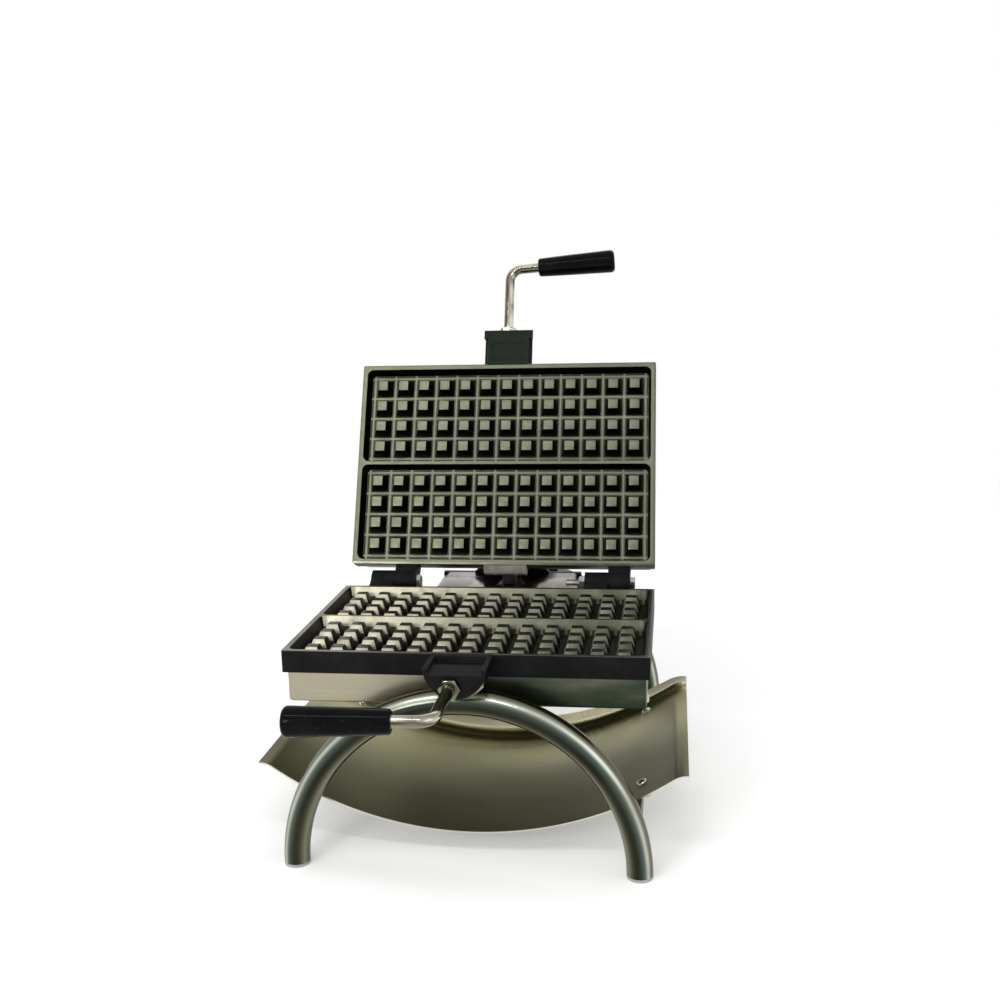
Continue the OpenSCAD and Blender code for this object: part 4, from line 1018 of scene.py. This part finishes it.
# the rolled curve runs into the level side edge in a bend that touches both
bend_z = edge_z - flare_r
bend_x = math.sqrt((tray_r + flare_r) ** 2 - (tray_cz - bend_z) ** 2)
bend_turn = math.asin(bend_x / (tray_r + flare_r))
half_section = []
for i in range(41):
    a = bend_turn * (i / 32 if i <= 32 else (40 - i) / 8)
    x, z = (tray_r * math.sin(a), tray_cz - tray_r * math.cos(a)) if i <= 32 else (
        bend_x - flare_r * math.sin(a), bend_z + flare_r * math.cos(a))
    half_section.append((x, z, -math.sin(a), math.cos(a)))
half_section.append((tray_w / 2, edge_z, 0, 1))
section = [(-x, z, -out_x, out_z) for x, z, out_x, out_z in reversed(half_section[1:])] + half_section
flat_l = tray_y1 - tray_y0 - ramp_l
lengths = [(tray_y0 + flat_l * i / 12, 0) for i in range(13)]
for i in range(1, 9):
    a = math.radians(90 * i / 8)
    lengths.append((tray_y1 - ramp_l + (ramp_l - tray_t) * math.sin(a), ramp_h * (1 - math.cos(a))))
lip_low = 1 * mm
lengths.append((tray_y1 - tray_t, ramp_h + lip_h - lip_low))
bm = bmesh.new()
grid = []
for y, lift in lengths:
    row = []
    for x, z, out_x, out_z in section:
        # the turned-up edge is a flatter arc than the trough, so it stands highest in the middle
        rise = lift * (1 + lip_bow / (ramp_h + lip_h) * (1 - (x / (tray_w / 2)) ** 2))
        row.append(bm.verts.new((x + rise * out_x, y, z + rise * out_z)))
    grid.append(row)
for a, b in zip(grid, grid[1:]):
    for i in range(len(a) - 1):
        bm.faces.new((a[i], a[i + 1], b[i + 1], b[i]))
trough = draft("rolled_trough", bm)
if trough.data.polygons[0].normal.z < 0:
    trough.data.flip_normals()
wall = trough.modifiers.new("sheet", "SOLIDIFY")
wall.thickness = tray_t
wall.offset = -1
wall.use_even_offset = True
settle(trough, below, "stand", trough_steel, ["drip_tray"], 40)


# ---- Black castings -------------------------------------------------------------------
# The rear bearing block, the casting behind the lower plate, and the hinge knuckles,
# sand-cast, machined on their joint faces and painted black.
def from_solid(name, node, finish, body, width=0.8 * mm):
    """A piece with the node's own shape, its flats cleaned and its edges rounded."""
    bm = bmesh.new()
    bm.from_mesh(frame["nodes"][node].data)
    bmesh.ops.remove_doubles(bm, verts=bm.verts, dist=1e-6)
    bmesh.ops.dissolve_limit(bm, angle_limit=math.radians(0.5), verts=bm.verts, edges=bm.edges)
    mesh = bpy.data.meshes.new(name)
    bm.to_mesh(mesh)
    bm.free()
    obj = in_scene(name, mesh)
    soften(obj, width)
    return settle(obj, Matrix.Identity(4), body, finish, [node])


from_solid("rear_bearing", "bearing_block", black_casting, "stand", 1.2 * mm)
from_solid("carrier_casting", "trunnion_casting", black_casting, "iron", 1.0 * mm)
for kind, node, body in (("_plate_knuckle", "hinge_block_", "iron"), ("_lid_knuckle", "lid_bracket_", "lid")):
    for side in ("left", "right"):
        from_solid(side + kind, node + side, black_casting, body)


# ---- Front bearing liner --------------------------------------------------------------
# A strip of bare steel rolled to the journals' round and let into the front arch's
# crown. The irons turn on it, so its inside is rubbed bright.
def mottled_finish(name, colour, other, scale, rough, metallic=0.0, grain=0.0):
    """Two close colours in soft patches, with a fine grain where it is asked for."""
    material, tree = shader(name)
    cloud = use(tree, patches, scale=scale, low=0.3, high=0.75)
    relief = None
    if grain:
        relief = bump(tree, use(tree, patches, scale=1300.0, low=0.3, high=0.75), grain, 0.2 * mm)
    colour = blend_colours(tree, cloud, colour, other)
    return complete(material, colour, between(tree, cloud, *rough), metallic, relief)


liner_steel = mottled_finish(
    "liner_steel", (0.30, 0.29, 0.23), (0.16, 0.15, 0.11), 70.0, (0.22, 0.42), 1.0, 0.15)
from_solid("bearing_liner", "front_saddle", liner_steel, "stand", 0.4 * mm)


# ---- Rear bearing bush ----------------------------------------------------------------
# A flanged bush of sintered bronze, pressed into the rear bearing and soaked with oil.
bronze = mottled_finish("bronze", (0.42, 0.27, 0.10), (0.26, 0.16, 0.06), 120.0, (0.28, 0.45), 1.0, 0.2)
from_solid("bronze_bush", "bearing_bush", bronze, "stand", 0.4 * mm)


# ---- Bars under the trough ------------------------------------------------------------
# Two flats of stainless bar, welded to the back of the front arch. The trough is screwed
# down on them.
bar_steel = mottled_finish(
    "bar_steel", (0.20, 0.19, 0.14), (0.11, 0.105, 0.08), 40.0, (0.26, 0.42), 1.0, 0.12)
for side in ("left", "right"):
    from_solid(side + "_trough_bar", "tray_bar_" + side, bar_steel, "stand", 0.5 * mm)


# ---- Screws and nuts of the trough ----------------------------------------------------
# Zinc-plated pan heads with a cross slot through the sheet and the bars, with plain nuts
# below.
bar_t, bar_out, screw_in = 5 * mm, 10 * mm, 34 * mm
head_r, head_h, tail, tray_nut_h, tray_nut_af = 5.5 * mm, 2.4 * mm, 8 * mm, 5 * mm, 10 * mm
tray_nut_bore = 3.02 * mm
bar_r = tray_r + tray_t + bar_t / 2
bar_z = (arch_r ** 2 - bar_r ** 2 + tray_cz ** 2 - arch_z ** 2) / (2 * (tray_cz - arch_z))
bar_x = math.sqrt(bar_r ** 2 - (bar_z - tray_cz) ** 2) + bar_out
bar_turn = math.asin(bar_x / bar_r)
ramp_gap = 0.3 * mm
tops, bottoms = [], []
for side in (-1, 1):
    inwards = Vector((-side * math.sin(bar_turn), 0, math.cos(bar_turn)))
    for y in (tray_y0 + screw_in, tray_y1 - ramp_l - head_r - ramp_gap):
        middle = Vector((0, y, tray_cz))
        tops.append((middle - inwards * tray_r, inwards))
        bottoms.append((middle - inwards * (tray_r + tray_t + bar_t + tray_nut_h), inwards))
pan_heads = set_out("trough_pan_heads", dome_screw(head_r, head_h, tray_t + bar_t + tail), tops, zinc, 0.5)
settle(pan_heads, below, "stand", zinc, ["tray_screws"])
nuts = set_out("trough_nuts", hexagon("nut", tray_nut_af, tray_nut_h, tray_nut_bore), bottoms, zinc)
settle(nuts, below, "stand", zinc, ["tray_nuts"])


# ---- Heating rods, clamps and wool ----------------------------------------------------
# Under each cover a sheathed heating rod lies on the casting's back in six runs, held by
# two flat clamps on studs, with a slab of mineral wool over it.
def dress(node, finish):
    """Gives a solid that is shown as it is its finish."""
    slots = frame["nodes"][node].data.materials
    if not slots:
        slots.append(finish)
    for i in range(len(slots)):
        slots[i] = finish


sheath = mottled_finish(
    "element_sheath", (0.055, 0.060, 0.058), (0.10, 0.085, 0.06), 60.0, (0.45, 0.65), 0.8, 0.2)
wool = mottled_finish("mineral_wool", (0.62, 0.56, 0.40), (0.46, 0.41, 0.28), 260.0, (0.9, 1.0), 0.0, 0.9)
for half in ("lower", "upper"):
    dress(half + "_element", sheath)
    dress(half + "_clamps", zinc)
    dress(half + "_insulation", wool)


# ---- Hinge bolts ----------------------------------------------------------------------
# Two hexagon bolts with their heads on the lid's side. The right one is longer: it stands
# out past its nut, with its thread showing.
hinge_y, block_w, bracket_w, side_gap = hinge_at.y - swing_at.y, 24.6 * mm, 23.6 * mm, 0.3 * mm
meets = {"left": -117.2 * mm, "right": 117.2 * mm}
bolt_r, bolt_af, bolt_head_h, bolt_nut_h, bolt_tail = 4 * mm, 13 * mm, 5.3 * mm, 6.5 * mm, 14 * mm
thread_pitch, thread_h, short_by, short_thread = 1.25 * mm, 0.4 * mm, 2 * mm, 6 * mm
to_x = Matrix.Rotation(math.radians(90), 4, "Y")
for side, meet in meets.items():
    face = meet + bracket_w + 2 * side_gap
    long = side == "right"
    end = meet - block_w - (bolt_nut_h + bolt_tail if long else -short_by)
    outline = [(0, end - face), (bolt_r - 2 * thread_h, end - face)]
    turns = int((bolt_tail if long else short_thread) / thread_pitch)
    for i in range(turns):
        z = end - face + (i + 0.3) * thread_pitch
        outline += [(bolt_r, z), (bolt_r - thread_h, z + thread_pitch / 2)]
    outline += [(bolt_r, outline[-1][1] + thread_pitch), (bolt_r, 0.1 * mm), (0, 0.1 * mm)]
    seat = below @ Matrix.Translation((face, hinge_y, 0)) @ to_x
    shank = turned_piece(side + "_bolt_shank", outline, steps=40)
    for piece in (shank, hexagon(side + "_bolt_head", bolt_af, bolt_head_h, None)):
        settle(piece, seat, "iron", zinc, ["hinge_bolt_" + side], 25)
nut_seat = below @ Matrix.Translation((meets["right"] - block_w - bolt_nut_h, hinge_y, 0)) @ to_x
nut = hexagon("hinge_lock_nut", bolt_af, bolt_nut_h - 0.05 * mm, bolt_r + 0.02 * mm)
settle(nut, nut_seat, "iron", zinc, ["hinge_nut"], 25)


# ---- Socket screws --------------------------------------------------------------------
# Zinc-plated cap screws that hold the knuckles and the carrier casting to the plates.
for node, body in (("hinge_block_screws", "iron"), ("lid_bracket_screws", "lid"), ("casting_screws", "iron")):
    from_solid(node.replace("_screws", "_cap_screws"), node, zinc, body, 0.3 * mm)


# ---- Lead lug of the lid --------------------------------------------------------------
# A rough cast lug, not painted, in the middle of the lid's hinge edge. The lid's leads
# leave the cover through its two holes.
bare_casting = mottled_finish(
    "bare_casting", (0.30, 0.275, 0.235), (0.20, 0.18, 0.15), 90.0, (0.5, 0.7), 0.5, 0.5)
from_solid("lead_lug", "lid_lead_lug", bare_casting, "lid", 1.0 * mm)


# ---- Trunnion -------------------------------------------------------------------------
# A ground steel tube, pressed into the carrier casting, that turns in the rear bush and
# takes the lead through its middle. A collar behind the bush keeps it in place.
ground_steel = mottled_finish("ground_steel", (0.40, 0.40, 0.36), (0.27, 0.27, 0.24), 90.0, (0.14, 0.28), 1.0)
from_solid("turning_tube", "trunnion", ground_steel, "iron", 0.6 * mm)
from_solid("stop_collar", "trunnion_collar", zinc, "iron", 0.5 * mm)


# ---- Cable gland ----------------------------------------------------------------------
# Black nylon: a threaded body in the trunnion's end, a hexagon, and a ribbed dome nut
# that grips the lead.
black_plastic = mottled_finish(
    "black_plastic", (0.008, 0.008, 0.009), (0.016, 0.016, 0.016), 60.0, (0.32, 0.48), 0.0, 0.15)
from_solid("gland_body", "cable_gland", black_plastic, "iron", 0.5 * mm)
gland_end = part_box("cable_gland")[1].y
ribs_from_end = 12 * mm
rib_seat = Matrix.Translation((0, gland_end - ribs_from_end, swing_at.z)) @ along_y
rib_count, rib_r, rib_middle, rib_half, rib_l = 16, 10 * mm, 3.6 * mm, 0.5 * mm, 6 * mm
ribs = []
for i in range(rib_count):
    a = 2 * math.pi * i / rib_count
    ribs.append(((rib_r * math.cos(a), rib_r * math.sin(a), rib_middle), (math.cos(a), math.sin(a), 0)))
rib = box_piece("rib", (-rib_l / 2, -rib_half, -0.6 * mm), (rib_l / 2, rib_half, rib_half))
grip_ribs = set_out("gland_ribs", rib, ribs, black_plastic)
settle(grip_ribs, rib_seat, "iron", black_plastic, None)


# ---- Control housing ------------------------------------------------------------------
# A channel of polished stainless sheet between the casting's two plates, closed below by
# a flat sheet that four screws hold to the casting's arms.
def housing_finish():
    material, tree = shader("housing_steel")
    sweep = use(tree, patches, scale=22.0, stretch=(1.4, 0.5, 0.5), low=0.42, high=0.58)
    colour = blend_colours(tree, sweep, (0.075, 0.052, 0.030), (0.30, 0.25, 0.17))
    lines = use(tree, brushing, along=(8.0, 700.0, 700.0), fineness=1.0)
    return complete(material, colour, between(tree, lines, 0.10, 0.22), 1.0)


housing_steel = housing_finish()
from_solid("control_cover", "control_housing", housing_steel, "iron", 0.4 * mm)
from_solid("control_cover_base", "housing_base", cover_steel, "iron", 0.3 * mm)
from_solid("base_pan_heads", "housing_screws", zinc, "iron", 0.6 * mm)
dress("thermostat", zinc)
terminal_white = mottled_finish("terminal_white", (0.66, 0.63, 0.54), (0.56, 0.53, 0.45), 50.0, (0.4, 0.55))
dress("terminal_block", terminal_white)


# ---- Thermostat knob ------------------------------------------------------------------
# A moulded black knob with a grip bar. Its white line points at a ring of ticks printed
# on the housing's end.
housing_half, knob_r, knob_h, skirt_h = 81 * mm, 18 * mm, 17 * mm, 4 * mm
knob_at = Vector(joints["knob_turn"]["pos_m"]) - swing_at
white_print = mottled_finish("white_print", (0.78, 0.78, 0.74), (0.68, 0.68, 0.64), 200.0, (0.5, 0.6))
on_end = below @ Matrix.Translation((housing_half, knob_at.y, knob_at.z)) @ to_x
knob_seat = on_end @ Matrix.Translation((0, 0, 0.5 * mm))
skirt = turned_piece("knob_skirt", [
    (0, 0), (knob_r - 0.4 * mm, 0), (knob_r, 0.5 * mm), (knob_r - 0.3 * mm, skirt_h - 1 * mm),
    (knob_r - 1.6 * mm, skirt_h), (0, skirt_h + 0.4 * mm)], steps=72)
settle(skirt, knob_seat, "knob", black_plastic, ["thermostat_knob"])
bm = bmesh.new()
loops = []
bar_in, bar_half, bar_corner = 2 * mm, 5 * mm, 4.8 * mm
for inset, z in ((0, skirt_h - 0.3 * mm), (0.2 * mm, knob_h - 2 * mm), (0.7 * mm, knob_h - 0.6 * mm),
                 (1.6 * mm, knob_h)):
    x, y = knob_r - bar_in - inset, bar_half - inset
    loops.append(corner_loop(bm, -x, -y, x, y, bar_corner - inset, z))
skin(bm, loops)
settle(draft("knob_bar", bm), knob_seat, "knob", black_plastic, ["thermostat_knob"])
line_out, line_in, line_half, line_sunk, line_proud = 5 * mm, 4 * mm, 0.5 * mm, 0.3 * mm, 0.05 * mm
line = box_piece("knob_line", (-knob_r + line_out, -line_half, knob_h - line_sunk),
                 (-line_in, line_half, knob_h + line_proud))
settle(line, knob_seat, "knob", white_print, None)
tick_count, tick_r, knob_range = 11, 20.5 * mm, 270
ticks = []
for i in range(tick_count):
    a = math.radians(180 - knob_range * i / (tick_count - 1))
    ticks.append(((math.cos(a) * tick_r, math.sin(a) * tick_r, 0), (math.cos(a), math.sin(a), 0)))
tick_half = Vector((0.05 * mm, 0.35 * mm, 1.2 * mm))
tick = box_piece("tick", -tick_half, tick_half)
dial = set_out("dial_ticks", tick, ticks, white_print)
settle(dial, on_end @ Matrix.Translation((0, 0, 0.04 * mm)), "iron", white_print, None)


# ---- Rocker switch --------------------------------------------------------------------
# A black frame clipped into the housing's end, with a red rocker marked with a bar for on
# and a ring for off.
from_solid("switch_bezel", "switch_frame", black_plastic, "iron", 0.5 * mm)
rocker_red = mottled_finish("rocker_red", (0.38, 0.02, 0.015), (0.30, 0.015, 0.012), 80.0, (0.25, 0.35))
from_solid("red_rocker", "switch_rocker", rocker_red, "rocker", 0.5 * mm)
rocker_rest = math.radians(-7)
rocker_at = Vector(joints["switch_rock"]["pos_m"])
rocker_seat = Matrix.Translation(rocker_at) @ Matrix.Rotation(rocker_rest, 4, "Z")
mark_in, mark_out, mark_half, on_start, on_end_y = 7.2 * mm, 7.9 * mm, 0.35 * mm, -9.4 * mm, -5.4 * mm
on_mark = box_piece("on_bar", (mark_in, on_start, -mark_half), (mark_out, on_end_y, mark_half))
settle(on_mark, rocker_seat, "rocker", white_print, None)
ring_x, ring_y, ring_in, ring_out, ring_h = 7.3 * mm, 7.4 * mm, 1.3 * mm, 2 * mm, 0.4 * mm
ring_turns = Matrix.Translation((ring_x, ring_y, 0)) @ to_x
bm = bmesh.new()
loops = []
for r, z in ((ring_in, 0), (ring_out, 0), (ring_out, ring_h), (ring_in, ring_h)):
    loops.append(corner_loop(bm, -r, -r, r, r, r, z))
skin(bm, loops + [loops[0]], closed_ends=False)
settle(draft("off_ring", bm), rocker_seat @ ring_turns, "rocker", white_print, None)


# ---- Pilot lamp -----------------------------------------------------------------------
# A chromed bezel with an amber lens over a neon lamp.
def lens_finish():
    material, tree = shader("lamp_amber")
    cloud = use(tree, patches, scale=200.0, low=0.3, high=0.75)
    colour = blend_colours(tree, cloud, (0.80, 0.22, 0.02), (0.60, 0.14, 0.01))
    return complete(material, colour, 0.12, Coat_Weight=0.5)


lamp_amber = lens_finish()
lamp_low, lamp_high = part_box("pilot_lamp")
lamp_middle = (lamp_low + lamp_high) / 2
lamp_seat = Matrix.Translation((swing_at.x + housing_half, lamp_middle.y, lamp_middle.z)) @ to_x
bezel_r, bezel_h, lens_r, lamp_body = 6.5 * mm, 2 * mm, 4.3 * mm, 20 * mm
bezel = turned_piece("lamp_bezel", [
    (0, 0.02 * mm), (bezel_r, 0.02 * mm), (bezel_r, 0.8 * mm), (bezel_r - 0.7 * mm, 1.8 * mm),
    (lens_r + 0.3 * mm, bezel_h), (0, bezel_h)])
settle(bezel, lamp_seat, "iron", chrome, ["pilot_lamp"])
outline = [(0, -lamp_body), (lens_r, -lamp_body), (lens_r, bezel_h)]
for i in range(1, 8):
    a = math.radians(90 * i / 8)
    outline.append((lens_r * math.cos(a), bezel_h + lens_r * math.sin(a)))
outline.append((0, bezel_h + lens_r))
lens = turned_piece("lamp_lens", outline, steps=48)
settle(lens, lamp_seat, "iron", lamp_amber, ["pilot_lamp"])


# ---- Lid rest -------------------------------------------------------------------------
# A moulded rubber buffer on the housing's top, for the open lid to lean on.
rubber = mottled_finish("rubber", (0.007, 0.007, 0.007), (0.014, 0.013, 0.012), 90.0, (0.55, 0.75), 0.0, 0.3)
from_solid("lid_buffer", "lid_rest", rubber, "iron", 1.2 * mm)

low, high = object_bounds()
